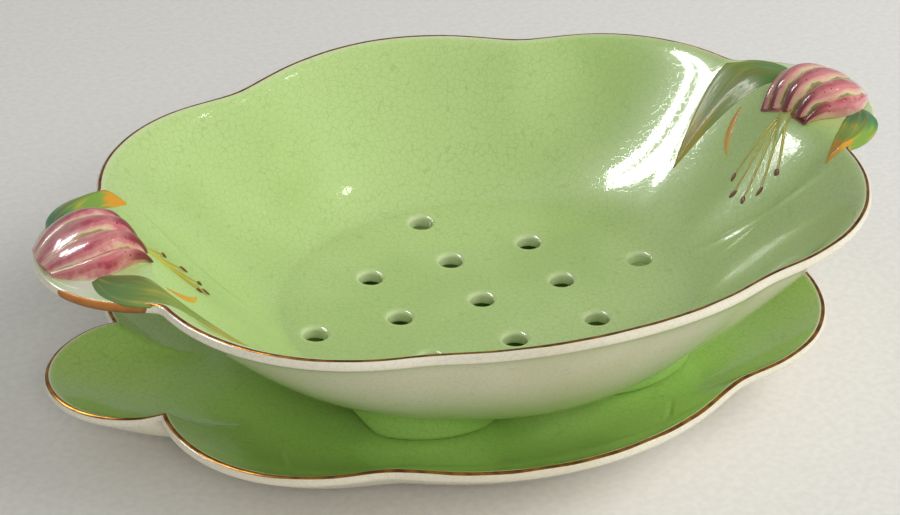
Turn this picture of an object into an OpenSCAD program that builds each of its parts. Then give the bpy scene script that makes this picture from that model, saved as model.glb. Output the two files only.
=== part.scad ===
// Oval berry drainer of glazed earthenware with its underplate.
// The drainer is a lobed bowl with a pierced floor, four foot pads and a flower lug at each end.
// It stands loose in a matching lobed underplate, which catches the drips.
// Lengths are in millimetres and angles in degrees. +X runs along the long axis and +Z is up.
// The origin is on the table, below the centre of the drainer.

/* [Drainer outline] */
// Reach of the crown of each long-side lobe from the centre
drainer_side_reach = 100.5; // [96:0.5:104]
// Radius of the arc of each long-side lobe
drainer_side_arc = 99; // [92:1:100]
// Reach of the crown of each corner lobe from the centre
drainer_corner_reach = 121; // [117:0.5:124]
// Radius of the arc of each corner lobe
drainer_corner_arc = 60; // [56:1:64]
// Direction of the corner lobes from the long axis
drainer_corner_angle = 24; // [22:1:28]
// Reach of the tip of each lug from the centre
lug_reach = 142.5; // [140:0.5:146]
// Radius of the arc of each lug
lug_arc = 34; // [30:1:38]
// Turn of the right lug's direction from +X, towards +Y
right_lug_angle = 3; // [-4:0.5:4]
// Turn of the left lug's direction from -X, towards -Y
left_lug_angle = -1; // [-4:0.5:4]

/* [Drainer section] */
// Height of the rim above the inside of the floor
drainer_depth = 47; // [42:0.5:52]
// Thickness of the drainer's floor
drainer_floor_t = 4.5; // [4:0.25:6]
// Thickness of the drainer's lip
drainer_rim_t = 3.4; // [2.8:0.2:4.2]
// Half length of the shallow pierced well in the floor
well_half_length = 67; // [65:0.5:70]
// Half width of the shallow pierced well in the floor
well_half_width = 60.5; // [59:0.5:63]
// Radius to which the floor is dished
dish_radius = 1080; // [800:20:1600]
// Rise of the rim at the crown of each long-side lobe
side_lift = 2.2; // [0:0.2:4]
// Dip of the rim at the notches between the lobes
notch_dip = 1.2; // [0:0.2:3]
// Drop of the rim at the tips of the lugs
lug_drop = 0.8; // [0:0.2:4]

/* [Drain holes] */
// Diameter of each drain hole
hole_d = 7.8; // [6:0.2:9]
// Spacing of the holes along the long axis
hole_pitch_length = 29.2; // [27:0.2:30]
// Spacing of the holes across the long axis
hole_pitch_width = 26.1; // [24:0.1:26.5]
// Width of the softened lip round each hole
hole_lip = 0.8; // [0.4:0.1:1.2]

/* [Drainer foot] */
// Height of the inside of the drainer's floor above the bottom of its foot pads
foot_height = 11.2; // [9.5:0.2:14]
// Radius of the outer arc of each foot pad
foot_arc = 37.5; // [34:0.5:39]
// Thickness of the foot pads
foot_t = 5; // [4:0.5:7]
// Distance of the centre of each pad's arc from the centre, along the long axis
foot_offset_length = 29.4; // [27:0.2:31]
// Distance of the centre of each pad's arc from the centre, across the long axis
foot_offset_width = 16.2; // [14:0.2:18]

/* [Flower lugs] */
// Length of each flower head from its base to its mouth
head_length = 25; // [22:0.5:28]
// Width of each flower head
head_width = 32; // [28:0.5:36]
// Height of each flower head above the lug
head_height = 11; // [8:0.5:13]
// Depth of the grooves between the petals
groove_depth = 2; // [1:0.25:3]
// Length of the petal tips past the mouth
petal_tip = 5; // [3:0.5:7]
// Height of the leaves above the lug
leaf_height = 1.2; // [1:0.1:2]
// Width of the leaf on the narrow side of each head
small_leaf_width = 12; // [9:0.5:14]
// Width of the leaf on the wide side of each head
large_leaf_width = 18; // [14:0.5:20]
// Length of the longest filament
filament_length = 25; // [21:1:30]
// Width of each filament
filament_width = 1.3; // [1:0.1:1.8]
// Height of the filaments above the wall
filament_height = 0.6; // [0.5:0.1:0.9]
// Diameter of the anther at the end of each filament
anther_d = 2.6; // [2:0.2:3.2]

/* [Underplate outline] */
// Reach of the crown of each long-side lobe of the plate
plate_side_reach = 97; // [95:0.5:99]
// Radius of the arc of each long-side lobe of the plate
plate_side_arc = 94; // [90:1:94]
// Reach of the crown of each corner lobe of the plate
plate_corner_reach = 116.5; // [113:0.5:119]
// Radius of the arc of each corner lobe of the plate
plate_corner_arc = 46; // [43:1:49]
// Direction of the plate's corner lobes from the long axis
plate_corner_angle = 26; // [24:1:29]
// Reach of the tip of each end lobe of the plate
plate_end_reach = 137; // [134:0.5:138.5]
// Radius of the arc of each end lobe of the plate
plate_end_arc = 26; // [24:1:30]

/* [Underplate section] */
// Height of the plate's rim above the inside of its floor
plate_depth = 16; // [13:0.2:18]
// Thickness of the plate's floor
plate_floor_t = 4.5; // [3.5:0.25:6]
// Thickness of the plate's lip
plate_rim_t = 3.2; // [2.6:0.2:4]
// Half length of the plate's flat floor
plate_floor_half_length = 84; // [82:0.5:90]
// Half width of the plate's flat floor
plate_floor_half_width = 61; // [59:0.5:64]
// Height of the plate's foot ring
plate_foot_h = 3; // [2:0.25:5]
// Thickness of the plate's foot ring
plate_foot_t = 5; // [4:0.5:7]
// Half length of the plate's foot ring
plate_foot_half_length = 74; // [68:0.5:78]
// Half width of the plate's foot ring
plate_foot_half_width = 54; // [50:0.5:58]

/* [Setting] */
// How far the drainer stands off the middle of the plate, as the pair is set down
plate_shift = 6.8; // [0:0.2:8]
// Height of the gilded band over the crown of each lip
gilding_height = 0.4; // [0.3:0.05:0.8]
// Gap under the foot pads, which the glaze leaves uneven
seat_gap = 0.3; // [0.2:0.05:0.5]

/* [Hidden] */

// Round shapes and the rings of the dishes share one count of steps.
steps = 120;
$fn = steps;
// Sharpness of the notches between the lobes: a higher power cuts them deeper.
drainer_notch_power = 38;
plate_notch_power = 28;
plate_end_power = 16;
// Drain holes stand on a diamond lattice, this many rows out from the centre.
hole_rows = 2;
// How far the cuts run past the clay.
overrun = 1;
// Distance over which the slope of a wall is taken.
probe = 0.5;
// How deep the applied clay is luted into the wall.
bond = 0.8;
// Depth to which the foot pads are luted into the underside.
pad_bond = 1.2;

// Shape of the walls, as shares of the run from the floor to the rim.
drainer_wall_share = 1.45;
plate_wall_share = 1.9;
bend_share = 0.04;
// Share over which the foot of a wall eases out of the floor.
ease_share = 0.12;
// Widths in degrees of the lift, dip and drop along the rim.
lift_spread = 22;
dip_spread = 12;
drop_spread = 15;
// Direction of the notches from the long axis.
drainer_notch_angle = 58;
// Directions of the right and the left lug from the centre.
lug_turns = [right_lug_angle, 180 + left_lug_angle];

// Shares of the run at which the rings of the walls lie.
inner_shares = [0.03, 0.09, 0.17, 0.26, 0.36, 0.46, 0.56, 0.66, 0.76, 0.86, 0.94, 1];
outer_shares = [1, 0.93, 0.84, 0.74, 0.64, 0.53, 0.42, 0.31, 0.2, 0.1, 0.03];

gilt_shares = [-1, -0.5, 0, 0.5, 1];

// The pads reach these turns round their arcs, at the bottom and at the top.
pad_low_from = 45;
pad_low_to = 108;
pad_high_from = 27;
pad_high_to = 118;
// How much wider the pads are at the top, where they flare into the underside.
foot_flare = 1.5;
pad_steps = 10;
dish_steps = 8;

// Flower heads: petals, their roundness, and the shares of width and height along the head.
petals = 5;
petal_power = 0.6;
dome_power = 0.7;
head_steps = 20;
head_skew = 7;
head_width_shares = [0.4, 0.68, 0.86, 0.95, 1, 1, 0.97, 0.92, 0.85, 0.76, 0.64];
head_height_shares = [0.1, 0.42, 0.66, 0.83, 0.94, 1, 1, 0.97, 0.9, 0.72, 0.12];

// Places on the right lug, as shares of the lug's reach along +X and of its arc along +Y.
mouth_shares = [0.8, -0.08];
small_leaf_shares = [[0.945, -0.46], [0.88, -0.95], [0.755, -1.02]];
large_leaf_shares = [[0.9, 0.42], [0.83, 1.04], [0.61, 0.68]];
leaf_width_shares = [0.3, 0.62, 0.84, 0.96, 1, 0.95, 0.83, 0.66, 0.46, 0.26, 0.08];
leaf_turns = [0, 30, 60, 90, 120, 150, 180];
filament_turns = [181, 193, 205, 217, 229];
filament_length_shares = [0.8, 0.95, 1, 0.94, 0.8];
filament_start_share = 0.26;
filament_width_shares = [1, 0.95, 0.9, 0.85, 0.8, 0.75, 0.7];
filament_across = [0, 45, 90, 135, 180];
anther_sunk_share = 0.2;
anther_steps = 24;

// Heights that the pieces share.
plate_floor_z = plate_foot_h + plate_floor_t;
drainer_floor_z = plate_floor_z + seat_gap + foot_height;
drainer_mid_z = drainer_floor_z - drainer_floor_t / 2;
plate_mid_z = plate_floor_z - plate_floor_t / 2;
drainer_run_z = drainer_depth + drainer_floor_t / 2 - drainer_rim_t / 2;
plate_run_z = plate_depth + plate_floor_t / 2 - plate_rim_t / 2;
drainer_gilt_angle = acos(1 - 2 * gilding_height / drainer_rim_t);
plate_gilt_angle = acos(1 - 2 * gilding_height / plate_rim_t);

// Small helpers

function total(v) = v * [for (x = v) 1];
function mix(a, b, t) = a + (b - a) * t;
function polar(a, r, z) = [r * cos(a), r * sin(a), z];
function turned(p, a) = [p.x * cos(a) - p.y * sin(a), p.x * sin(a) + p.y * cos(a)];
function bump(a, at, spread) =
    let (d = abs((a - at) % 360), e = min(d, 360 - d)) exp(-pow(e / spread, 2));

// A soft union: nearly the largest value, eased where two are close.
function soft_max(v, power) =
    let (m = max(v)) m * pow(total([for (x = v) pow(x / m, power)]), 1 / power);

// Distance from the centre, along direction a, to the far side of an arc whose crown
// is reach away along direction dir.
function arc_reach(a, dir, reach, radius) =
    let (
        c = reach - radius,
        d = c * cos(a - dir),
        q = radius * radius - c * c + d * d
    )
    q > 0 ? max(d + sqrt(q), 0) : 0;

function oval(a, half_length, half_width) =
    half_length * half_width / norm([half_width * cos(a), half_length * sin(a)]);

// Four corner arcs and two side arcs, one soft union.
function six_lobes(a, side_reach, side_arc, corner_reach, corner_arc, corner_angle, power) =
    soft_max([
        for (dir = [90, 270]) arc_reach(a, dir, side_reach, side_arc),
        for (dir = [-1, 1], turn = [0, 180]) arc_reach(a, turn + dir * corner_angle, corner_reach, corner_arc)
    ], power);

function with_ends(a, body, ends, reach, radius, power) =
    soft_max([body, for (dir = ends) arc_reach(a, dir, reach, radius)], power);

// Outlines of the drainer, seen from above

function drainer_well(a) = oval(a, well_half_length, well_half_width);
function drainer_body(a) = six_lobes(a, drainer_side_reach, drainer_side_arc,
    drainer_corner_reach, drainer_corner_arc, drainer_corner_angle, drainer_notch_power);
function drainer_rim(a) =
    with_ends(a, drainer_body(a), lug_turns, lug_reach, lug_arc, drainer_notch_power);

// Outlines of the underplate, seen from above

function plate_well(a) = oval(a, plate_floor_half_length, plate_floor_half_width);
function plate_body(a) = six_lobes(a, plate_side_reach, plate_side_arc,
    plate_corner_reach, plate_corner_arc, plate_corner_angle, plate_notch_power);
function plate_rim(a) =
    with_ends(a, plate_body(a), [0, 180], plate_end_reach, plate_end_arc, plate_end_power);

// Sections of the drainer: the height of the middle of its clay, and its thickness

function dish(r) = r * r / (2 * dish_radius);

// Grows with s, and levels off where s passes one, so that the wall rolls over into a lug.
function rolled(s, power) =
    eased(max(s - bend_share * ln(1 + exp((s - 1) / bend_share)), 0), power);
function eased(s, power) = s * s * pow(s + ease_share, power - 2);

function rim_swell(a) =
    side_lift * (bump(a, 90, lift_spread) + bump(a, 270, lift_spread))
    - notch_dip * total([for (t = [0, 180], d = [-1, 1]) bump(a, t + d * drainer_notch_angle, dip_spread)])
    - lug_drop * total([for (t = lug_turns) bump(a, t, drop_spread)]);

function drainer_rise(a, r) =
    let (
        well = drainer_well(a),
        run = drainer_body(a) - well,
        s = max(r - well, 0) / run,
        s_rim = (drainer_rim(a) - well) / run
    )
    rolled(s, drainer_wall_share) / rolled(s_rim, drainer_wall_share);

function drainer_z(a, r) =
    drainer_mid_z + mix(dish(r), drainer_run_z + rim_swell(a), drainer_rise(a, r));

function drainer_tilt(a, r) =
    atan2(drainer_z(a, r + probe) - drainer_z(a, r - probe), 2 * probe);

function drainer_t(a, r) = mix(drainer_floor_t, drainer_rim_t, drainer_rise(a, r));

// Heights of the glazed inside and of the underside at a place seen from above.
function drainer_top(a, r) = drainer_z(a, r) + drainer_t(a, r) / 2 / cos(drainer_tilt(a, r));
function drainer_under(a, r) = drainer_z(a, r) - drainer_t(a, r) / 2 / cos(drainer_tilt(a, r));

// Section of the underplate

function plate_rise(a, r) =
    let (well = plate_well(a))
    pow(max(r - well, 0) / (plate_rim(a) - well), plate_wall_share);
function plate_z(a, r) = plate_mid_z + plate_run_z * plate_rise(a, r);
function plate_tilt(a, r) = atan2(plate_z(a, r + probe) - plate_z(a, r - probe), 2 * probe);
function plate_t(a, r) = mix(plate_floor_t, plate_rim_t, plate_rise(a, r));

// A point off the middle of the clay, out along its normal by side times half its thickness.
function off_middle(a, r, z, tilt, t, side) =
    polar(a, r - side * t / 2 * sin(tilt), z + side * t / 2 * cos(tilt));

// A point on the half round of a lip. Turn 0 is its inner edge and 180 its outer edge.
function lip_point(a, r, z, tilt, t, turn) =
    polar(a,
        r + t / 2 * (sin(turn) * cos(tilt) - cos(turn) * sin(tilt)),
        z + t / 2 * (sin(turn) * sin(tilt) + cos(turn) * cos(tilt)));

// Skins, each made of a list of sections, where a section is a list of points

// Faces of a grid. The rows close on themselves in a ring, and the columns in a loop.
function grid_faces(rows, columns, ring, loop) = [
    for (i = [0 : rows - (ring ? 1 : 2)], j = [0 : columns - (loop ? 1 : 2)])
        let (
            i2 = (i + 1) % rows,
            j2 = (j + 1) % columns
        )
        each [
            [i * columns + j, i2 * columns + j, i2 * columns + j2],
            [i * columns + j, i2 * columns + j2, i * columns + j2]
        ]
];

// A closed ring of looped sections, like a hoop.
module hoop_skin(sections) {
    polyhedron(
        points = [for (s = sections) each s],
        faces = grid_faces(len(sections), len(sections[0]), true, true)
    );
}

// A run of looped sections, closed at both ends by a fan.
module run_skin(sections) {
    rows = len(sections);
    columns = len(sections[0]);
    count = rows * columns;
    middles = [
        for (s = [sections[0], sections[rows - 1]])
            [total([for (p = s) p.x]), total([for (p = s) p.y]), total([for (p = s) p.z])] / columns
    ];
    polyhedron(
        points = [for (s = sections) each s, each middles],
        faces = [
            each grid_faces(rows, columns, false, true),
            for (j = [0 : columns - 1]) [count, j, (j + 1) % columns],
            for (j = [0 : columns - 1])
                [count + 1, (rows - 1) * columns + (j + 1) % columns, (rows - 1) * columns + j]
        ]
    );
}

// The drainer

function drainer_section(a) =
    let (
        well = drainer_well(a),
        rim = drainer_rim(a),
        floor_z = drainer_z(a, well),
        rim_z = drainer_z(a, rim),
        rim_tilt = drainer_tilt(a, rim),
        g = drainer_gilt_angle
    )
    [
        polar(a, well, floor_z + drainer_floor_t / 2),
        for (share = inner_shares)
            let (r = mix(well, rim, share))
            off_middle(a, r, drainer_z(a, r), drainer_tilt(a, r), drainer_t(a, r), 1),
        for (turn = [(90 - g) / 2, 90 - g, 90 + g, 180 - (90 - g) / 2])
            lip_point(a, rim, rim_z, rim_tilt, drainer_rim_t, turn),
        for (share = outer_shares)
            let (r = mix(well, rim, share))
            off_middle(a, r, drainer_z(a, r), drainer_tilt(a, r), drainer_t(a, r), -1),
        polar(a, well, floor_z - drainer_floor_t / 2)
    ];

module drainer_wall() {
    color("#C9DDA0")
        hoop_skin([for (i = [0 : steps - 1]) drainer_section(i * 360 / steps)]);
}

module drainer_rim_gilding() {
    color("#A8742C")
        hoop_skin([
            for (i = [0 : steps - 1])
                let (
                    a = i * 360 / steps,
                    rim = drainer_rim(a)
                )
                [
                    for (share = gilt_shares)
                        lip_point(a, rim, drainer_z(a, rim), drainer_tilt(a, rim), drainer_rim_t,
                            90 + share * drainer_gilt_angle)
                ]
        ]);
}

module drain_hole(x, y) {
    top = drainer_mid_z + dish(norm([x, y])) + drainer_floor_t / 2;
    flare = hole_lip + overrun;
    translate([x, y, top - drainer_floor_t - overrun])
        cylinder(d = hole_d, h = drainer_floor_t + 2 * overrun);
    translate([x, y, top - hole_lip])
        cylinder(d1 = hole_d, d2 = hole_d + 2 * flare, h = flare);
}

module strainer_floor() {
    radii = [for (i = [0 : dish_steps]) i / dish_steps * (well_half_length + overrun)];
    color("#B4CD86")
        difference() {
            intersection() {
                rotate_extrude()
                    polygon([
                        for (r = radii) [r, drainer_mid_z + dish(r) + drainer_floor_t / 2],
                        for (i = [dish_steps : -1 : 0])
                            [radii[i], drainer_mid_z + dish(radii[i]) - drainer_floor_t / 2]
                    ]);
                translate([0, 0, drainer_mid_z - drainer_floor_t])
                    linear_extrude(height = 3 * drainer_floor_t)
                        polygon([
                            for (i = [0 : steps - 1])
                                let (a = i * 360 / steps)
                                drainer_well(a) * [cos(a), sin(a)]
                        ]);
            }
            for (u = [-hole_rows : hole_rows], v = [-hole_rows : hole_rows])
                if (abs(u) + abs(v) <= hole_rows)
                    drain_hole(u * hole_pitch_length, v * hole_pitch_width);
        }
}

// Section of a foot pad, at a share of the way along its arc. The pad is longer at its top,
// where it is luted to the underside, so the arches between the pads narrow upwards.
function pad_section(share) =
    let (
        low = mix(pad_low_from, pad_low_to, share),
        high = mix(pad_high_from, pad_high_to, share),
        centre = [foot_offset_length, foot_offset_width],
        bottom = plate_floor_z + seat_gap
    )
    [
        for (r = [foot_arc, foot_arc - foot_t])
            let (p = centre + r * [cos(low), sin(low)])
            [p.x, p.y, bottom],
        for (r = [foot_arc - foot_t, foot_arc + foot_flare])
            let (
                p = centre + r * [cos(high), sin(high)],
                under = drainer_under(atan2(p.y, p.x), norm(p))
            )
            [p.x, p.y, under + pad_bond]
    ];

module foot_pad() {
    color("#8CBF5A")
        run_skin([for (i = [0 : pad_steps]) pad_section(i / pad_steps)]);
}

module foot_pad_back_right() {
    foot_pad();
}

module foot_pad_back_left() {
    mirror([1, 0, 0])
        foot_pad();
}

module foot_pad_front_right() {
    mirror([0, 1, 0])
        foot_pad();
}

module foot_pad_front_left() {
    rotate([0, 0, 180])
        foot_pad();
}

// Relief on the lugs. Each piece is laid out on a lug along +X, and turned to the lug it is on.

function clay_top(p) =
    let (
        a = atan2(p.y, p.x),
        r = min(norm(p), drainer_rim(a) - drainer_rim_t / 2)
    )
    drainer_top(a, r);

// Closes a run of places on the clay, raised by rises, over the same run sunk by the bond.
function relief_section(places, rises) = [
    for (k = [0 : len(places) - 1])
        [places[k].x, places[k].y, clay_top(places[k]) + rises[k]],
    for (k = [len(places) - 1 : -2 : 0])
        [places[k].x, places[k].y, clay_top(places[k]) - bond]
];

// Petals are lobes of the dome: one at the crown of each, nothing in the groove between two.
function petal(turn) = pow(abs(sin(petals * turn)), petal_power);

function head_section(lug, i) =
    let (
        last = len(head_width_shares) - 1,
        share = i / last,
        turns = [for (k = [0 : head_steps]) k * 180 / head_steps],
        base = turned([lug_reach - drainer_rim_t / 2, 0], lug_turns[lug]),
        along = -turned([1, 0], lug_turns[lug] + head_skew),
        across = [-along.y, along.x],
        half = head_width / 2 * head_width_shares[i],
        rise = head_height * head_height_shares[i],
        groove = groove_depth * head_height_shares[i]
    )
    relief_section(
        [for (t = turns) base + along * share * (head_length + petal_tip * petal(t)) + across * half * cos(t)],
        [for (t = turns) max(rise * pow(sin(t), dome_power) - groove * (1 - petal(t)), 0)]
    );

module flower_head(lug) {
    color("#C0607A")
        run_skin([for (i = [0 : len(head_width_shares) - 1]) head_section(lug, i)]);
}

// A strip of relief along a curve through three places, with shares of its width and height.
module relief_strip(places, width, height, width_shares, across_turns) {
    last = len(width_shares) - 1;
    run_skin([
        for (i = [0 : last])
            let (
                t = i / last,
                q = (1 - t) * (1 - t) * places[0] + 2 * t * (1 - t) * places[1] + t * t * places[2],
                d = (1 - t) * (places[1] - places[0]) + t * (places[2] - places[1]),
                across = [-d.y, d.x] / norm(d),
                half = width / 2 * width_shares[i]
            )
            relief_section(
                [for (turn = across_turns) q + across * half * cos(turn)],
                [for (turn = across_turns) height * sin(turn)]
            )
    ]);
}

function lug_place(lug, shares) = turned([shares.x * lug_reach, shares.y * lug_arc], lug_turns[lug]);

module leaf(lug, shares, width) {
    relief_strip([for (s = shares) lug_place(lug, s)], width, leaf_height, leaf_width_shares, leaf_turns);
}

function filament_end(lug, i) =
    lug_place(lug, mouth_shares)
    + filament_length * filament_length_shares[i] * turned([1, 0], lug_turns[lug] + filament_turns[i]);

module filaments(lug) {
    color("#B9B75E")
        for (i = [0 : len(filament_turns) - 1])
            let (
                from = mix(lug_place(lug, mouth_shares), filament_end(lug, i), filament_start_share),
                to = filament_end(lug, i)
            )
            relief_strip([from, (from + to) / 2, to], filament_width, filament_height,
                filament_width_shares, filament_across);
}

module anthers(lug) {
    color("#6E3A1C")
        for (i = [0 : len(filament_turns) - 1])
            let (p = filament_end(lug, i))
            translate([p.x, p.y, clay_top(p) - anther_d * anther_sunk_share])
                sphere(d = anther_d, $fn = anther_steps);
}

module right_flower_head() {
    flower_head(0);
}

module left_flower_head() {
    flower_head(1);
}

module right_small_leaf() {
    color("#3F8F4C")
        leaf(0, small_leaf_shares, small_leaf_width);
}

module left_small_leaf() {
    color("#3F8F4C")
        leaf(1, small_leaf_shares, small_leaf_width);
}

module right_large_leaf() {
    color("#7C9A34")
        leaf(0, large_leaf_shares, large_leaf_width);
}

module left_large_leaf() {
    color("#7C9A34")
        leaf(1, large_leaf_shares, large_leaf_width);
}

module right_filaments() {
    filaments(0);
}

module left_filaments() {
    filaments(1);
}

module right_anthers() {
    anthers(0);
}

module left_anthers() {
    anthers(1);
}

// The underplate

function plate_section(a) =
    let (
        well = plate_well(a),
        rim = plate_rim(a),
        rim_z = plate_z(a, rim),
        rim_tilt = plate_tilt(a, rim),
        g = plate_gilt_angle
    )
    [
        polar(a, well, plate_floor_z),
        for (share = inner_shares)
            let (r = mix(well, rim, share))
            off_middle(a, r, plate_z(a, r), plate_tilt(a, r), plate_t(a, r), 1),
        for (turn = [(90 - g) / 2, 90 - g, 90 + g, 180 - (90 - g) / 2])
            lip_point(a, rim, rim_z, rim_tilt, plate_rim_t, turn),
        for (share = outer_shares)
            let (r = mix(well, rim, share))
            off_middle(a, r, plate_z(a, r), plate_tilt(a, r), plate_t(a, r), -1),
        polar(a, well, plate_foot_h)
    ];

module on_plate_centre() {
    translate([-plate_shift, 0, 0])
        children();
}

module underplate_wall() {
    color("#A2C873")
        on_plate_centre()
            hoop_skin([for (i = [0 : steps - 1]) plate_section(i * 360 / steps)]);
}

module underplate_floor() {
    color("#9CC46C")
        on_plate_centre()
            translate([0, 0, plate_foot_h])
                linear_extrude(height = plate_floor_t)
                    polygon([
                        for (i = [0 : steps - 1])
                            let (a = i * 360 / steps)
                            plate_well(a) * [cos(a), sin(a)]
                    ]);
}

module underplate_foot_ring() {
    color("#E6DFC8")
        on_plate_centre()
            linear_extrude(height = plate_foot_h)
                difference() {
                    oval_outline(plate_foot_half_length, plate_foot_half_width);
                    oval_outline(plate_foot_half_length - plate_foot_t, plate_foot_half_width - plate_foot_t);
                }
}

module oval_outline(half_length, half_width) {
    polygon([for (i = [0 : steps - 1]) [half_length * cos(i * 360 / steps), half_width * sin(i * 360 / steps)]]);
}

module underplate_rim_gilding() {
    color("#A8742C")
        on_plate_centre()
            hoop_skin([
                for (i = [0 : steps - 1])
                    let (
                        a = i * 360 / steps,
                        rim = plate_rim(a)
                    )
                    [
                        for (share = gilt_shares)
                            lip_point(a, rim, plate_z(a, rim), plate_tilt(a, rim), plate_rim_t,
                                90 + share * plate_gilt_angle)
                    ]
            ]);
}

drainer_wall();
strainer_floor();
drainer_rim_gilding();
foot_pad_front_left();
foot_pad_front_right();
foot_pad_back_left();
foot_pad_back_right();
left_flower_head();
right_flower_head();
left_small_leaf();
right_small_leaf();
left_large_leaf();
right_large_leaf();
left_filaments();
right_filaments();
left_anthers();
right_anthers();
underplate_floor();
underplate_wall();
underplate_foot_ring();
underplate_rim_gilding();
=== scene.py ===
"""Looks of an oval berry drainer of glazed earthenware, standing in its lobed underplate.

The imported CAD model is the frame. The drainer, the underplate and the flowers on the lugs are
drawn again here as fine surfaces, from the same outlines and sections, and dressed as slip-cast
earthenware under coloured gloss glazes. Shapes are worked out in millimetres and stored in metres.
"""

from __future__ import annotations

import logging
from abc import ABC, abstractmethod
from dataclasses import dataclass
from enum import Enum
from typing import Any, Mapping, Sequence

import bmesh
import bpy
import numpy as np
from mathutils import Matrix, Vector
from mathutils.geometry import delaunay_2d_cdt

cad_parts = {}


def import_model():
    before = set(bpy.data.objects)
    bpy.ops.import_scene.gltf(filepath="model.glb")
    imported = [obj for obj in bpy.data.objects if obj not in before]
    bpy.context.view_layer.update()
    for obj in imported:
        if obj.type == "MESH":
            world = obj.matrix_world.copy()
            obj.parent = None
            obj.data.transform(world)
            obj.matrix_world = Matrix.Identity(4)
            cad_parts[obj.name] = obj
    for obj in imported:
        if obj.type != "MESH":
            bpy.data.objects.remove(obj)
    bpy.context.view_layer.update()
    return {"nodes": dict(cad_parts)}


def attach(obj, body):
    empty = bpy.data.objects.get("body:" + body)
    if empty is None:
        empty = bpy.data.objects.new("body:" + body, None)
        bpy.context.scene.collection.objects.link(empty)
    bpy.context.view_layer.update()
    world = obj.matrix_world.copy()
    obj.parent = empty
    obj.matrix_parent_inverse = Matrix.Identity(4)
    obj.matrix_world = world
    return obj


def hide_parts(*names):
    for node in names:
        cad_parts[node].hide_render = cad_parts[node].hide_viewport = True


LOG = logging.getLogger("berry_drainer")
MM = 0.001
Array = np.ndarray
Piece = bpy.types.Object
Tree = bpy.types.NodeTree
Spot = tuple[float, float]
Wave = tuple[float, float, float]


class Side(Enum):
    """The end of the drainer that a lug is on."""

    RIGHT = "right"
    LEFT = "left"


class Body(Enum):
    """The two loose pieces of the set."""

    DRAINER = "drainer"
    UNDERPLATE = "underplate"


# Numbers on whole arrays


def cosd(angle: Array | float) -> Array:
    """Cosine of an angle in degrees."""
    return np.cos(np.radians(angle))


def sind(angle: Array | float) -> Array:
    """Sine of an angle in degrees."""
    return np.sin(np.radians(angle))


def blend(low: Array | float, high: Array | float, share: Array | float) -> Array:
    """Straight blend from low to high."""
    return low + (high - low) * share


def smooth_step(value: Array | float, start: float, end: float) -> Array:
    """Share that eases from 0 at start to 1 at end: three t squared less two t cubed."""
    t = np.clip((np.asarray(value, float) - start) / (end - start), 0, 1)
    return t * t * (3 - 2 * t)


def bell(off: Array, spread: float) -> Array:
    """Bell round zero: e to the minus square of off over the spread."""
    return np.exp(-((off / spread) ** 2))


def bump(angle: Array, at: float, spread: float) -> Array:
    """Bell in the direction at, over the turn away from it in degrees."""
    off = np.abs((angle - at + 180) % 360 - 180)
    return bell(off, spread)


def round_turns(count: int) -> Array:
    """Evenly spaced directions round a circle, in degrees."""
    return np.arange(count) * 360 / count


def waves(angle: Array, *parts: Wave) -> Array:
    """Sum of waves round the rim, each with its height, its count and its start in degrees."""
    return sum(height * sind(angle * count + start) for height, count, start in parts)


def ring(angle: Array, radius: Array | float = 1.0) -> Array:
    """Places in plan at a radius in each direction."""
    return np.stack([radius * cosd(angle), radius * sind(angle)], axis=-1)


def soft_union(reaches: Sequence[Array], power: float) -> Array:
    """Power mean of several outlines: the largest of them, eased where two are close."""
    stack = np.stack(np.broadcast_arrays(*reaches))
    top = stack.max(axis=0)
    return top * ((stack / top) ** power).sum(axis=0) ** (1 / power)


def arc_reach(angle: Array, toward: float, reach: float, radius: float) -> Array:
    """Distance from the centre to the far side of a circle whose crown is reach away.

    Args:
        angle: Directions in degrees.
        toward: Direction of the crown in degrees.
        reach: Distance of the crown from the centre.
        radius: Radius of the circle.

    Returns:
        The root d + sqrt(radius^2 - c^2 + d^2), with c the circle's centre and d its share
        along the direction, or 0 where the direction misses the circle.
    """
    centre = reach - radius
    along = centre * cosd(angle - toward)
    square = radius**2 - centre**2 + along**2
    return np.where(square > 0, np.maximum(along + np.sqrt(np.maximum(square, 0)), 0), 0)


def six_lobes(angle: Array, side: Array, corner: Array, corner_angle: float, power: float) -> Array:
    """Outline of two side arcs and four corner arcs in a soft union.

    Args:
        angle: Directions in degrees.
        side: Reach and radius of the side arcs.
        corner: Reach and radius of the corner arcs.
        corner_angle: Direction of the corner arcs from the long axis.
        power: Power of the union.

    Returns:
        Distance of the outline from the centre.
    """
    sides = [arc_reach(angle, t, *side) for t in (90, 270)]
    corners = [arc_reach(angle, t + w * corner_angle, *corner) for t in (0, 180) for w in (-1, 1)]
    return soft_union(sides + corners, power)


def oval(angle: Array, half_length: float, half_width: float) -> Array:
    """Distance from the centre to an ellipse."""
    return half_length * half_width / np.hypot(half_width * cosd(angle), half_length * sind(angle))


def near_segment(
    x: Array, y: Array, start: Sequence[float], end: Sequence[float], spread: float
) -> Array:
    """Bell round a straight line between two places, faded out towards both of its ends.

    Args:
        x: Places across.
        y: Places up the plan.
        start: One end of the line.
        end: The other end.
        spread: Half width of the bell.

    Returns:
        e to the minus square of the distance over the spread, times an eased fade at the ends.
    """
    way = np.subtract(end, start)
    length = float(np.hypot(*way))
    along = ((x - start[0]) * way[0] + (y - start[1]) * way[1]) / length
    off = ((y - start[1]) * way[0] - (x - start[0]) * way[1]) / length
    fade = smooth_step(along, 0, 0.3 * length) * (1 - smooth_step(along, 0.6 * length, length))
    return bell(off, spread) * fade


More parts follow.
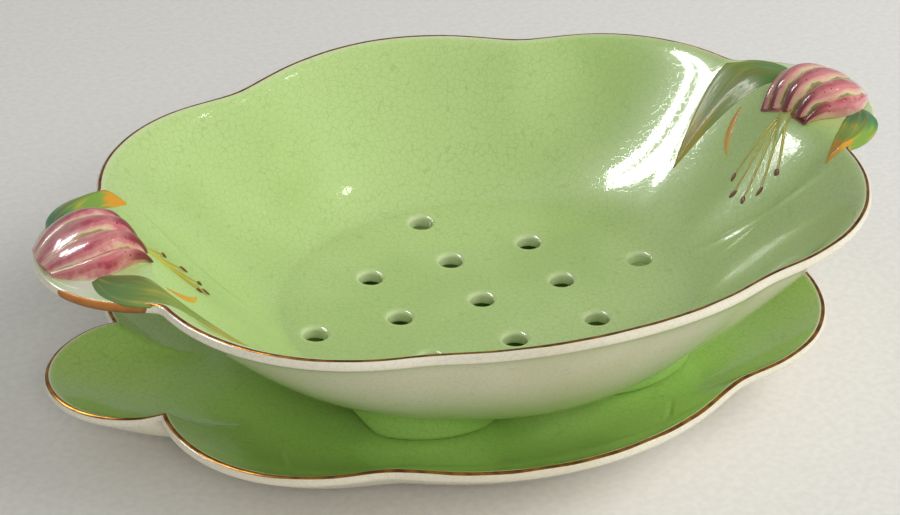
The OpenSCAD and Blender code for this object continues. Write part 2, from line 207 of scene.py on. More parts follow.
def softened(values: Sequence[float], count: int, passes: int = 3) -> Array:
    """A run of values drawn through by straight lines, then eased by a running mean.

    Args:
        values: Evenly spaced values.
        count: How many values to give back.
        passes: How often the running mean is taken.

    Returns:
        The eased run, with both ends kept.
    """
    fine = np.interp(np.linspace(0, len(values) - 1, count), np.arange(len(values)), values)
    width = max(3, count // len(values) | 1)
    for _ in range(passes):
        before, after = 2 * fine[0] - fine[width:0:-1], 2 * fine[-1] - fine[-2 : -width - 2 : -1]
        padded = np.concatenate([before, fine, after])
        fine = np.convolve(padded, np.ones(width) / width, "same")[width:-width]
    return fine


# Meshes


def new_piece(
    name: str, points: Array, faces: Sequence[Sequence[int]], smooth: bool = True
) -> Piece:
    """Make an object at the origin from points in millimetres.

    Args:
        name: Name of the piece.
        points: Array of n by 3 places in millimetres.
        faces: Vertex numbers of each face, against the clock as seen from outside.
        smooth: Whether the faces are shaded smooth.

    Returns:
        The object, linked to the scene.
    """
    mesh = bpy.data.meshes.new(name)
    mesh.from_pydata((np.asarray(points, float) * MM).tolist(), [], faces)
    mesh.polygons.foreach_set("use_smooth", np.full(len(mesh.polygons), smooth))
    mesh.update()
    piece = bpy.data.objects.new(name, mesh)
    bpy.context.scene.collection.objects.link(piece)
    return piece


def grid_faces(rows: int, columns: int, closed: bool, looped: bool) -> Array:
    """Four-sided faces of a grid of points, as one array.

    Args:
        rows: Number of sections.
        columns: Number of points in a section.
        closed: Whether the last section joins the first.
        looped: Whether the last point of a section joins its first.

    Returns:
        Faces that look outwards where a section turns left of the way that sections follow.
    """
    along = np.arange(rows if closed else rows - 1)
    across = np.arange(columns if looped else columns - 1)
    i, j = np.meshgrid(along, across, indexing="ij")
    k, m = (i + 1) % rows, (j + 1) % columns
    quads = np.stack([i * columns + j, i * columns + m, k * columns + m, k * columns + j], axis=-1)
    return quads.reshape(-1, 4)


def hoop(name: str, grid: Array) -> Piece:
    """Make a closed ring of looped sections.

    Args:
        name: Name of the piece.
        grid: Array of sections by points by 3.

    Returns:
        The piece.
    """
    rows, columns, _ = grid.shape
    return new_piece(name, grid.reshape(-1, 3), grid_faces(rows, columns, True, True).tolist())


def tube(name: str, grid: Array) -> Piece:
    """Make a run of looped sections, closed at both ends by a fan round the section's middle.

    Args:
        name: Name of the piece.
        grid: Array of sections by points by 3.

    Returns:
        The piece.
    """
    rows, columns, _ = grid.shape
    middles = np.stack([grid[0].mean(axis=0), grid[-1].mean(axis=0)])
    j = np.arange(columns)
    k = (j + 1) % columns
    last = (rows - 1) * columns
    near = np.stack([np.full(columns, rows * columns), k, j], axis=-1)
    far = np.stack([np.full(columns, rows * columns + 1), last + j, last + k], axis=-1)
    faces = grid_faces(rows, columns, False, True).tolist() + near.tolist() + far.tolist()
    return new_piece(name, np.vstack([grid.reshape(-1, 3), middles]), faces)


def paint_map(piece: Piece, **maps: Array) -> None:
    """Store shares, one per vertex, that the materials read by name.

    Args:
        piece: The piece to mark.
        maps: Name of each map and its values; a short map is filled up with its mean.
    """
    count = len(piece.data.vertices)
    for name, values in maps.items():
        flat = np.asarray(values, float).ravel()
        flat = np.concatenate([flat, np.full(max(count - len(flat), 0), flat.mean())])
        layer = piece.data.attributes.new(name, "FLOAT", "POINT")
        layer.data.foreach_set("value", flat[:count].astype(np.float32))


def set_normals(piece: Piece, where: Array, normals: Array) -> None:
    """Shade some vertices with worked-out normals, so that two pieces meet without a crease.

    Args:
        piece: The piece to shade.
        where: Mask of the vertices.
        normals: Unit normals for the masked vertices.
    """
    mesh = piece.data
    found = np.empty(len(mesh.vertices) * 3)
    mesh.vertex_normals.foreach_get("vector", found)
    found = found.reshape(-1, 3)
    found[where] = normals
    mesh.normals_split_custom_set_from_vertices(found.tolist())


def joined(pieces: Sequence[Piece], name: str) -> Piece:
    """Join several pieces into one, with their maps.

    Args:
        pieces: The pieces; the first one stays.
        name: Name of the whole.

    Returns:
        The joined piece.
    """
    first = pieces[0]
    with bpy.context.temp_override(active_object=first, selected_editable_objects=list(pieces)):
        bpy.ops.object.join()
    first.name = name
    first.data.name = name
    return first


# Forms


@dataclass(frozen=True)
class VesselForm(ABC):
    """Section of a lobed vessel: clay laid half to each side of a middle surface.

    Lengths are in millimetres and angles in degrees, as in the CAD source.

    Attributes:
        floor_t: Thickness of the clay in the floor.
        rim_t: Thickness of the clay at the rim.
        shift: How far the vessel stands to the left of the origin.
        band_sink: Depth to which the underside of a painted band is sunk in the lip.
        gilt_out: Height of a gilt line over the clay.
        gilt_inner_waver: Share of the waver that the inner edge of a gilt line follows.
    """

    floor_t: float = 4.5
    rim_t: float = 3.4
    shift: float = 0.0
    band_sink: float = 0.25
    gilt_out: float = 0.05
    gilt_inner_waver: float = 0.6

    @abstractmethod
    def rim(self, a: Array) -> Array:
        """Outline in each direction."""

    @abstractmethod
    def rise(self, a: Array, r: Array) -> Array:
        """Share of the full rise at a place: 0 on the floor and 1 at the rim."""

    @abstractmethod
    def height(self, a: Array, r: Array) -> Array:
        """Height of the middle of the clay."""

    def tilt(self, a: Array, r: Array) -> Array:
        """Slope in degrees along the radius, over a millimetre."""
        return np.degrees(np.arctan2(self.height(a, r + 0.5) - self.height(a, r - 0.5), 1.0))

    def thick(self, a: Array, r: Array) -> Array:
        """Thickness of the clay."""
        return blend(self.floor_t, self.rim_t, self.rise(a, r))

    def skin(self, a: Array, r: Array, side: float, out: Array | float = 0.0) -> Array:
        """Points off the middle of the clay, along its normal.

        Args:
            a: Directions in degrees.
            r: Distances from the vessel's centre.
            side: 1 for the inside of the vessel and -1 for its outside.
            out: How far off the clay the points lie.

        Returns:
            Points at half the thickness plus out from the middle.
        """
        tilt, reach = self.tilt(a, r), side * (self.thick(a, r) / 2 + out)
        q, z = r - reach * sind(tilt), self.height(a, r) + reach * cosd(tilt)
        return np.stack([q * cosd(a) - self.shift, q * sind(a), z], axis=-1)

    def lip(self, a: Array, turn: Array, out: float = 0.0) -> Array:
        """Points on the half round of the lip.

        Args:
            a: Directions in degrees.
            turn: Turn round the lip, from 0 at its inner edge to 180 at its outer edge.
            out: How far off the clay the points lie.

        Returns:
            The points.
        """
        r = self.rim(a)
        tilt, reach = self.tilt(a, r), self.rim_t / 2 + out
        q = r + reach * (sind(turn) * cosd(tilt) - cosd(turn) * sind(tilt))
        z = self.height(a, r) + reach * (sind(turn) * sind(tilt) + cosd(turn) * cosd(tilt))
        return np.stack([q * cosd(a) - self.shift, q * sind(a), z], axis=-1)

    def band(self, a: Array, turns: Array, out: float) -> Array:
        """Looped sections of a thin band laid on the lip.

        Args:
            a: Directions in degrees.
            turns: Turns round the lip from one edge of the band to the other.
            out: How far the band stands off the clay.

        Returns:
            Array of sections by points by 3, with the underside sunk in the clay.
        """
        under = self.lip(a, turns[:, ::-1], -self.band_sink)
        return np.concatenate([self.lip(a, turns, out), under], axis=1)

    def gilt(self, a: Array, edges: Spot, waver: Array, steps: int) -> Array:
        """Looped sections of a gilt line brushed on the lip.

        Args:
            a: Directions in degrees.
            edges: Turns round the lip at which the line starts and ends.
            waver: Turn that the brush strays by in each direction.
            steps: Points across the line.

        Returns:
            Array of sections by points by 3.
        """
        first, last = edges[0] + self.gilt_inner_waver * waver, edges[1] + waver
        return self.band(a, blend(first, last, np.linspace(0, 1, steps)), self.gilt_out)


@dataclass(frozen=True)
class DrainerForm(VesselForm):
    """Outline and section of the drainer."""

    side_reach: float = 100.5
    side_arc: float = 99.0
    corner_reach: float = 121.0
    corner_arc: float = 60.0
    corner_angle: float = 24.0
    lug_reach: float = 142.5
    lug_arc: float = 34.0
    right_lug_angle: float = 3.0
    left_lug_angle: float = -1.0
    depth: float = 47.0
    well_length: float = 67.0
    well_width: float = 60.5
    dish_radius: float = 1080.0
    side_lift: float = 2.2
    notch_dip: float = 1.2
    lug_drop: float = 0.8
    lift_spread: float = 22.0
    dip_spread: float = 12.0
    drop_spread: float = 15.0
    notch_angle: float = 58.0
    floor_z: float = 19.0
    wall_power: float = 1.45
    bend_share: float = 0.04
    ease_share: float = 0.12
    plate_floor_z: float = 7.5
    seat_gap: float = 0.3
    notch_power: float = 38.0

    def lug_turn(self, side: Side) -> float:
        """Direction of a lug from the centre."""
        return self.right_lug_angle if side is Side.RIGHT else 180 + self.left_lug_angle

    def on_lug(self, side: Side, along: float, aside: float) -> Array:
        """Find a place on a lug.

        Args:
            side: The lug.
            along: Share of the lug's reach, out from the centre.
            aside: Share of the lug's arc, against the clock.

        Returns:
            The place in plan.
        """
        turn = self.lug_turn(side)
        return along * self.lug_reach * ring(turn) + aside * self.lug_arc * ring(turn + 90)

    @property
    def mid_z(self) -> float:
        """Height of the middle of the floor's clay at the centre."""
        return self.floor_z - self.floor_t / 2

    def well(self, a: Array) -> Array:
        """Edge of the pierced floor: an ellipse."""
        return oval(a, self.well_length, self.well_width)

    def body(self, a: Array) -> Array:
        """Outline without lugs: two side arcs and four corner arcs in a soft union."""
        side, corner = (self.side_reach, self.side_arc), (self.corner_reach, self.corner_arc)
        return six_lobes(a, side, corner, self.corner_angle, self.notch_power)

    def rim(self, a: Array) -> Array:
        """Outline with the lugs."""
        lugs = [arc_reach(a, self.lug_turn(side), self.lug_reach, self.lug_arc) for side in Side]
        return soft_union([self.body(a), *lugs], self.notch_power)

    def swell(self, a: Array) -> Array:
        """Rise and fall of the rim: up at the long sides, down at the notches and the lugs."""
        notches = [end + turn * self.notch_angle for end in (0, 180) for turn in (-1, 1)]
        lift = bump(a, 90, self.lift_spread) + bump(a, 270, self.lift_spread)
        dip = sum(bump(a, notch, self.dip_spread) for notch in notches)
        drop = sum(bump(a, self.lug_turn(side), self.drop_spread) for side in Side)
        return self.side_lift * lift - self.notch_dip * dip - self.lug_drop * drop

    def rolled(self, s: Array) -> Array:
        """Rise of the wall by its share of the run: level past one, and eased out of the floor."""
        past = np.minimum((s - 1) / self.bend_share, 50)
        q = np.maximum(s - self.bend_share * np.log1p(np.exp(past)), 0)
        return q * q * (q + self.ease_share) ** (self.wall_power - 2)

    def rise(self, a: Array, r: Array) -> Array:
        """Share of the full rise at a place: 0 on the floor and 1 at the rim."""
        well = self.well(a)
        run = self.body(a) - well
        return self.rolled(np.maximum(r - well, 0) / run) / self.rolled((self.rim(a) - well) / run)

    def height(self, a: Array, r: Array) -> Array:
        """Height of the middle of the clay: the dish, blended into the rim's height."""
        rim_z = self.depth + self.floor_t / 2 - self.rim_t / 2 + self.swell(a)
        return self.mid_z + blend(r * r / (2 * self.dish_radius), rim_z, self.rise(a, r))

    def top(self, x: Array, y: Array) -> Array:
        """Height of the glaze inside at a place seen from above, held level past the lip."""
        a = np.degrees(np.arctan2(y, x))
        r = np.minimum(np.hypot(x, y), self.rim(a) - self.rim_t / 2)
        return self.height(a, r) + self.thick(a, r) / 2 / cosd(self.tilt(a, r))

    def under(self, x: Array, y: Array) -> Array:
        """Height of the underside at a place seen from above."""
        a, r = np.degrees(np.arctan2(y, x)), np.hypot(x, y)
        return self.height(a, r) - self.thick(a, r) / 2 / cosd(self.tilt(a, r))


@dataclass(frozen=True)
class PlateForm(VesselForm):
    """Outline and section of the underplate."""

    side_reach: float = 97.0
    side_arc: float = 94.0
    corner_reach: float = 116.5
    corner_arc: float = 46.0
    corner_angle: float = 26.0
    end_reach: float = 137.0
    end_arc: float = 26.0
    depth: float = 16.0
    rim_t: float = 3.2
    floor_length: float = 84.0
    floor_width: float = 61.0
    foot_h: float = 3.0
    shift: float = 6.8
    wall_power: float = 1.9
    notch_power: float = 28.0
    end_power: float = 16.0

    @property
    def floor_z(self) -> float:
        """Height of the inside of the floor."""
        return self.foot_h + self.floor_t

    def well(self, a: Array) -> Array:
        """Edge of the flat floor: an ellipse."""
        return oval(a, self.floor_length, self.floor_width)

    def rim(self, a: Array) -> Array:
        """Outline: two side arcs, four corner arcs and two end arcs in a soft union."""
        side, corner = (self.side_reach, self.side_arc), (self.corner_reach, self.corner_arc)
        body = six_lobes(a, side, corner, self.corner_angle, self.notch_power)
        ends = [arc_reach(a, t, self.end_reach, self.end_arc) for t in (0, 180)]
        return soft_union([body, *ends], self.end_power)

    def rise(self, a: Array, r: Array) -> Array:
        """Share of the full rise: the share of the run to a power."""
        well = self.well(a)
        return (np.maximum(r - well, 0) / (self.rim(a) - well)) ** self.wall_power

    def height(self, a: Array, r: Array) -> Array:
        """Height of the middle of the clay."""
        climb = self.depth + self.floor_t / 2 - self.rim_t / 2
        return self.floor_z - self.floor_t / 2 + climb * self.rise(a, r)


# Finishes


def linear(code: str) -> tuple[float, float, float, float]:
    """Turn an sRGB hex colour into the linear colour that a shader takes."""
    v = np.array([int(code[i : i + 2], 16) / 255 for i in (1, 3, 5)])
    v = np.where(v <= 0.04045, v / 12.92, ((v + 0.055) / 1.055) ** 2.4)
    return float(v[0]), float(v[1]), float(v[2]), 1.0


def add_node(
    tree: Tree,
    kind: str,
    inputs: Mapping[str | int, Any],
    out: str | int | None = 0,
    **settings: Any,
) -> Any:
    """Add one node with its settings, values and links.

    Args:
        tree: The node tree.
        kind: Blender's name of the node type, without the words ShaderNode.
        inputs: Values, or sockets to link, for its inputs by name or number.
        out: Name or number of the output to give back, or None.
        settings: Properties of the node.

    Returns:
        The output socket, or None.
    """
    node = tree.nodes.new("ShaderNode" + kind)
    for key, value in settings.items():
        setattr(node, key, value)
    for key, value in inputs.items():
        if isinstance(value, bpy.types.NodeSocket):
            tree.links.new(value, node.inputs[key])
        else:
            node.inputs[key].default_value = value
    return None if out is None else node.outputs[out]


def add_layers(
    tree: Tree, colour: Any, layers: Sequence[tuple[Any, tuple[float, float], str]]
) -> Any:
    """Lay one colour over another, each where its share says.

    Args:
        tree: The node tree.
        colour: The lowest colour, a value or a socket.
        layers: For each colour over it, the share, the range over which it eases in, and its code.

    Returns:
        The socket of the topmost mix.
    """
    for share, (low, high), code in layers:
        eased = add_node(tree, "MapRange", {0: share, 1: low, 2: high}, interpolation_type="SMOOTHSTEP")
        colour = add_node(tree, "Mix", {0: eased, 6: colour, 7: linear(code)}, 2, data_type="RGBA")
    return colour


def close_shader(
    tree: Tree, colour: Any, height: Any, depth_mm: float, fixed: Mapping[str, float]
) -> None:
    """Close a material with one Principled shader over a bump.

    Args:
        tree: The material's tree.
        colour: Colour socket.
        height: Socket of a height from 0 to 1.
        depth_mm: Real height of that relief in millimetres.
        fixed: Constants, set on the shader's own sockets.
    """
    relief = add_node(tree, "Bump", {"Height": height, "Strength": 1.0, "Distance": depth_mm * MM})
    inputs = {"Base Color": colour, "Normal": relief, "Coat Normal": relief, **fixed}
    shader = add_node(tree, "BsdfPrincipled", inputs)
    add_node(tree, "OutputMaterial", {"Surface": shader}, None)


# Fired gloss glaze: a clear glass skin of index 1.52 over a colour layer that scatters softly.
GLOSS: Mapping[str, float] = {
    "IOR": 1.5,
    "Roughness": 0.35,
    "Coat Weight": 1.0,
    "Coat Roughness": 0.03,
    "Coat IOR": 1.52,
}


# The same glaze where it lies thin over brushed colour, and mirrors less.
SATIN: Mapping[str, float] = {**GLOSS, "Coat Weight": 0.3, "Coat Roughness": 0.08, "Roughness": 0.5}


@dataclass(frozen=True)
class Finish(ABC):
    """A finish, named by its material and process."""

    name: str

    @abstractmethod
    def draw(self, tree: Tree) -> None:
        """Add the nodes of the finish to an empty tree."""

    def make(self) -> bpy.types.Material:
        """Build the node material."""
        material = bpy.data.materials.new(self.name)
        material.use_nodes = True
        material.node_tree.nodes.clear()
        self.draw(material.node_tree)
        return material


@dataclass(frozen=True)
class EarthenwareGlaze(Finish):
    """Slip-cast earthenware under green and ivory gloss glaze.

    The glaze is even and bright, thins to a pale line on edges, and is crazed all over with hair
    lines about 2.4 mm apart. The real lines are 0.05 mm wide and are drawn wider, so that they show.
    """

    green: str = "#B1CF7A"
    green_light: str = "#BFDA8B"
    pale: str = "#E3EBC3"
    cream: str = "#ECE5D0"
    cream_deep: str = "#E2D9BF"
    ivory: str = "#DDE5D2"
    green_line: str = "#8FAE5C"
    cream_line: str = "#C9BE9E"
    line_width: float = 0.07
    line_share: float = 0.34
    line_depth: float = -0.12
    pit_height: float = 0.05
    relief_mm: float = 0.16
    craze_mm: float = 2.4
    cloud_mm: float = 60.0
    ripple_mm: float = 22.0
    pit_mm: float = 1.1

    def draw(self, tree: Tree) -> None:
        """Add the nodes, which read the maps inside, edge and ivory of the piece.

        Args:
            tree: The empty tree of the material.
        """
        place = add_node(tree, "TexCoord", {}, "Object")
        clouds, ripple, pits = (
            add_node(tree, "TexNoise", {"Vector": place, "Scale": 1 / (size * MM), "Detail": detail})
            for size, detail in ((self.cloud_mm, 2.0), (self.ripple_mm, 1.0), (self.pit_mm, 3.0))
        )
        wide = {"Vector": place, "Scale": 1 / (2 * self.craze_mm * MM)}
        wander = add_node(tree, "TexNoise", wide, "Color")
        bend = {0: wander, 1: (self.craze_mm * MM,) * 3, 2: place}
        bent = add_node(tree, "VectorMath", bend, operation="MULTIPLY_ADD")
        cell = {"Vector": bent, "Scale": 1 / (self.craze_mm * MM)}
        gap = add_node(tree, "TexVoronoi", cell, "Distance", feature="DISTANCE_TO_EDGE")
        near = {0: gap, 1: self.line_width, 2: 0.0, 4: self.line_share}
        lines = add_node(tree, "MapRange", near, interpolation_type="SMOOTHSTEP")
        washes = [(clouds, (0.35, 0.65), self.green_light), (pits, (0.62, 0.95), self.pale)]
        green = add_layers(tree, linear(self.green), washes)
        cream = add_layers(tree, linear(self.cream_deep), [(clouds, (0.35, 0.65), self.cream)])
        green, cream = (
            add_node(tree, "Mix", {0: lines, 6: wash, 7: linear(code)}, 2, data_type="RGBA")
            for wash, code in ((green, self.green_line), (cream, self.cream_line))
        )
        # The inside map holds the green glaze, and low on the drainer's outside a painted green reflection
        # of the plate
        inside = add_node(tree, "Attribute", {}, "Fac", attribute_name="inside")
        base = add_node(tree, "Mix", {0: inside, 6: cream, 7: green}, 2, data_type="RGBA")
        for name, code in (("ivory", self.ivory), ("edge", self.pale)):
            share = add_node(tree, "Attribute", {}, "Fac", attribute_name=name)
            base = add_node(tree, "Mix", {0: share, 6: base, 7: linear(code)}, 2, data_type="RGBA")
        height = ripple
        for pattern, rise in ((lines, self.line_depth), (pits, self.pit_height)):
            height = add_node(tree, "Math", {0: pattern, 1: rise, 2: height}, operation="MULTIPLY_ADD")
        close_shader(tree, base, height, self.relief_mm, GLOSS)


@dataclass(frozen=True)
class GiltLine(Finish):
    """Liquid bright gold brushed on the lip and fired: warm brown metal, a little worn. Both browns are
    darker than clean gold, a painted reflection of a dark room.
    """

    # Browns darker than clean gold: painted reflection of a dark room; the wear noise mixes them
    bright: str = "#A9772F"
    dark: str = "#6B4318"
    brush_mm: float = 4.0

    def draw(self, tree: Tree) -> None:
        """Add the nodes of the finish."""
        place = add_node(tree, "TexCoord", {}, "Object")
        fineness = 1 / (self.brush_mm * MM)
        worn = add_node(tree, "TexNoise", {"Vector": place, "Scale": fineness, "Detail": 4.0})
        colour = add_layers(tree, linear(self.dark), [(worn, (0.3, 0.7), self.bright)])
        close_shader(tree, colour, worn, 0.03, {"Metallic": 0.8, "Roughness": 0.28})


@dataclass(frozen=True)
class PetalPaint(Finish):
    """Underglaze colours on moulded petals: pink washes, crimson strokes, cream edges, olive grooves.

    Each petal is darkest at its inner end, where the brush left small dark specks.
    """

    olive: str = "#8E9152"
    cream: str = "#DCCF9A"
    blush: str = "#E4AE9C"
    pink: str = "#CF7077"
    crimson: str = "#B3394E"
    inner: str = "#76192B"
    brush_mm: float = 4.5
    speck_mm: float = 2.0
    wave_scale: tuple[float, float, float] = (1.6, 2.4, 3.7)
    brush_sway: float = 0.34
    wave_sway: float = 0.5

    def draw(self, tree: Tree) -> None:
        """Add the nodes, which read the maps phase across each petal, petal and along, base to mouth.

        Args:
            tree: The empty tree of the material.
        """
        place = add_node(tree, "TexCoord", {}, "Object")
        phase, along, petal = (
            add_node(tree, "Attribute", {}, "Fac", attribute_name=name)
            for name in ("phase", "along", "petal")
        )
        fineness = 1 / (self.brush_mm * MM)
        brush = add_node(tree, "TexNoise", {"Vector": place, "Scale": fineness, "Detail": 4.0})
        run = add_node(tree, "CombineXYZ", {0: phase, 1: along, 2: petal})
        drawn = add_node(tree, "VectorMath", {0: run, 1: self.wave_scale}, operation="MULTIPLY")
        wave = add_node(tree, "TexNoise", {"Vector": drawn, "Scale": 1.0, "Detail": 2.0})
        drift = phase
        for pattern, sway in ((brush, self.brush_sway), (wave, self.wave_sway)):
            drift = add_node(tree, "Math", {0: pattern, 1: sway, 2: drift}, operation="MULTIPLY_ADD")
        colour = add_layers(
            tree,
            linear(self.olive),
            [
                (drift, (0.43, 0.47), self.cream),
                (drift, (0.48, 0.55), self.blush),
                (drift, (0.56, 0.7), self.pink),
                (drift, (0.82, 0.98), self.crimson),
                (drift, (1.12, 1.22), self.pink),
                (drift, (1.26, 1.33), self.blush),
                (drift, (1.34, 1.38), self.cream),
                (drift, (1.39, 1.42), self.olive),
            ],
        )
        pale = add_node(tree, "Math", {0: brush, 1: 1.5, 2: -0.55}, operation="MULTIPLY_ADD")
        colour = add_node(tree, "Mix", {0: pale, 6: colour, 7: linear(self.blush)}, 2, data_type="RGBA")
        near, far = (
            add_node(tree, "MapRange", {0: phase, 1: none, 2: full}, interpolation_type="SMOOTHSTEP")
            for none, full in ((0.1, 0.36), (0.98, 0.74))
        )
        middle = add_node(tree, "Math", {0: near, 1: far}, operation="MULTIPLY")
        deep = add_node(tree, "Math", {0: along, 1: middle}, operation="MULTIPLY")
        cell = {"Vector": place, "Scale": 1 / (self.speck_mm * MM)}
        dots = add_node(tree, "TexVoronoi", cell, "Distance")
        dots = add_node(tree, "MapRange", {0: dots, 1: 0.25, 2: 0.12}, interpolation_type="SMOOTHSTEP")
        dots = add_node(tree, "Math", {0: dots, 1: deep}, operation="MULTIPLY")
        inner = [(deep, (0.68, 0.95), self.inner), (dots, (0.35, 0.7), self.inner)]
        colour = add_layers(tree, colour, inner)
        close_shader(tree, colour, brush, 0.12, GLOSS)


@dataclass(frozen=True)
class LeafPaint(Finish):
    """Underglaze green brushed along a low moulded leaf, running into ochre at its tip."""

    start: str = "#2F7A4A"
    middle: str = "#7FA53F"
    tip: str = "#DB9B24"
    streak: str = "#B4AE3E"
    rib: str = "#8A6A22"
    streak_scale: tuple[float, float, float] = (3.0, 3.2, 1.0)
    rib_at: float = 0.36
    rib_half_width: float = 0.07
    rib_share: float = 0.55

    def draw(self, tree: Tree) -> None:
        """Add the nodes, which read the maps along, root to tip, and across, from -1 to 1.

        Args:
            tree: The empty tree of the material.
        """
        along, across = (
            add_node(tree, "Attribute", {}, "Fac", attribute_name=name) for name in ("along", "across")
        )
        run = add_node(tree, "CombineXYZ", {0: along, 1: across})
        drawn = add_node(tree, "VectorMath", {0: run, 1: self.streak_scale}, operation="MULTIPLY")
        brush = add_node(tree, "TexNoise", {"Vector": drawn, "Scale": 1.0, "Detail": 4.0})
        drift = add_node(tree, "Math", {0: brush, 1: 0.5, 2: along}, operation="MULTIPLY_ADD")
        colour = add_layers(
            tree,
            linear(self.start),
            [
                (drift, (0.35, 0.8), self.middle),
                (brush, (0.52, 0.72), self.streak),
                (drift, (0.94, 1.08), self.tip),
            ],
        )
        bent = add_node(tree, "Math", {0: brush, 1: 0.12, 2: across}, operation="MULTIPLY_ADD")
        rib = {0: bent, 1: self.rib_at, 2: self.rib_half_width}
        rib = {0: add_node(tree, "Math", rib, operation="COMPARE"), 1: self.rib_share}
        faint = add_node(tree, "Math", rib, operation="MULTIPLY")
        colour = add_node(tree, "Mix", {0: faint, 6: colour, 7: linear(self.rib)}, 2, data_type="RGBA")
        close_shader(tree, colour, brush, 0.15, SATIN)


@dataclass(frozen=True)
class BrushedColour(Finish):
    """One underglaze colour laid on with a brush, full at the start of the stroke, thin at its end; on the
    lug's painted edge the end colour is a dark brown that is painted shade.
    """

    full: str
    thin: str
    metallic: float = 0.0
    brush_mm: float = 3.0

    def draw(self, tree: Tree) -> None:
        """Add the nodes, which read the map along of the piece."""
        place = add_node(tree, "TexCoord", {}, "Object")
        along = add_node(tree, "Attribute", {}, "Fac", attribute_name="along")
        fineness = 1 / (self.brush_mm * MM)
        brush = add_node(tree, "TexNoise", {"Vector": place, "Scale": fineness, "Detail": 3.0})
        drift = add_node(tree, "Math", {0: brush, 1: 0.6, 2: along}, operation="MULTIPLY_ADD")
        colour = add_layers(tree, linear(self.full), [(drift, (0.2, 1.3), self.thin)])
        close_shader(tree, colour, brush, 0.05, {**SATIN, "Metallic": self.metallic})


@dataclass(frozen=True)
class PalePaper(Finish):
    """Matt pale paper under the set, with a faint tooth."""

    light: str = "#EDEBE6"
    dark: str = "#E6E4DE"
    tooth_mm: float = 2.5

    def draw(self, tree: Tree) -> None:
        """Add the nodes of the finish."""
        place = add_node(tree, "TexCoord", {}, "Object")
        grain = {"Vector": place, "Scale": 1 / (self.tooth_mm * MM), "Detail": 3.0}
        tooth = add_node(tree, "TexNoise", grain)
        colour = add_layers(tree, linear(self.dark), [(tooth, (0.3, 0.7), self.light)])
        close_shader(tree, colour, tooth, 0.05, {"Roughness": 0.9})


@dataclass(frozen=True)
class Finishes:
    """The finishes of the set, each made once."""

    glaze: bpy.types.Material
    plate_glaze: bpy.types.Material
    gilt: bpy.types.Material
    petal: bpy.types.Material
    small_leaf: bpy.types.Material
    large_leaf: bpy.types.Material
    filament: bpy.types.Material
    anther: bpy.types.Material
    ochre: bpy.types.Material
    throat: bpy.types.Material
    edge: bpy.types.Material

    @classmethod
    def make(cls) -> Finishes:
        """Build every finish."""
        deep = {"green": "#A3CE63", "green_light": "#B2D873", "pale": "#D2E2AA", "green_line": "#7DA64A"}
        olive = {"start": "#557F33", "middle": "#7C9138", "streak": "#9DA03F", "tip": "#A99C3C"}
        return cls(
            glaze=EarthenwareGlaze("apple_green_and_ivory_gloss_glaze").make(),
            plate_glaze=EarthenwareGlaze("deep_apple_green_gloss_glaze", **deep).make(),
            gilt=GiltLine("fired_gilt_line_with_painted_dark_reflection").make(),
            petal=PetalPaint("crimson_underglaze_petals").make(),
            small_leaf=LeafPaint("teal_and_ochre_underglaze_leaf").make(),
            large_leaf=LeafPaint("olive_underglaze_leaf", **olive).make(),
            filament=BrushedColour("olive_underglaze_filament", "#CFC440", "#A99A30").make(),
            anther=BrushedColour("brown_underglaze_anther", "#5A3016", "#7E4F22").make(),
            ochre=BrushedColour("ochre_underglaze_stroke", "#DC9014", "#D9AC30").make(),
            throat=BrushedColour("yellow_green_underglaze_throat", "#CFC46A", "#A9BC62").make(),
            # Orange on the crown of the lug's lip, dark brown on its outer, lower side: painted shade
            edge=BrushedColour("orange_brown_lustre_edge_with_painted_shade", "#D48730", "#8E5218", 0.2).make(),
        )


# Parts


def lip_shares(over: Array, waver: Array) -> tuple[Array, Array]:
    """Shares of green glaze and of pale edge on the way over a lip.

    The green ends a little past the lip's inner edge, in a line that wavers. The pale edge, where
    the glaze lies thin, starts at that inner edge and fades out over the crown.

    Args:
        over: How far each point of a section is on its way: 0 floor, 1 to 2 lip, 3 foot.
        waver: Small shifts of the way, one per section.

    Returns:
        The two shares, for every point of every section.
    """
    green = 1 - smooth_step(over + waver, 1.04, 1.16)
    edge = 0.25 * smooth_step(over, 0.985, 1.0) * (1 - smooth_step(over, 1.3, 1.5))
    return green, np.broadcast_to(edge, green.shape)


def dress(
    piece: Piece, body: Body, slot: str, finish: bpy.types.Material, *nodes: str
) -> Piece:
    """Give a piece its body and finish, and log it.

    Args:
        piece: The piece.
        body: The body that it moves with.
        slot: Not used.
        finish: Its material.
        nodes: The CAD nodes that it stands for.

    Returns:
        The piece.
    """
    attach(piece, body.value)
    piece.data.materials.append(finish)
    if nodes:
        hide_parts(*nodes)
    LOG.info("%s: %d faces on %s", piece.name, len(piece.data.polygons), body.value)
    return piece


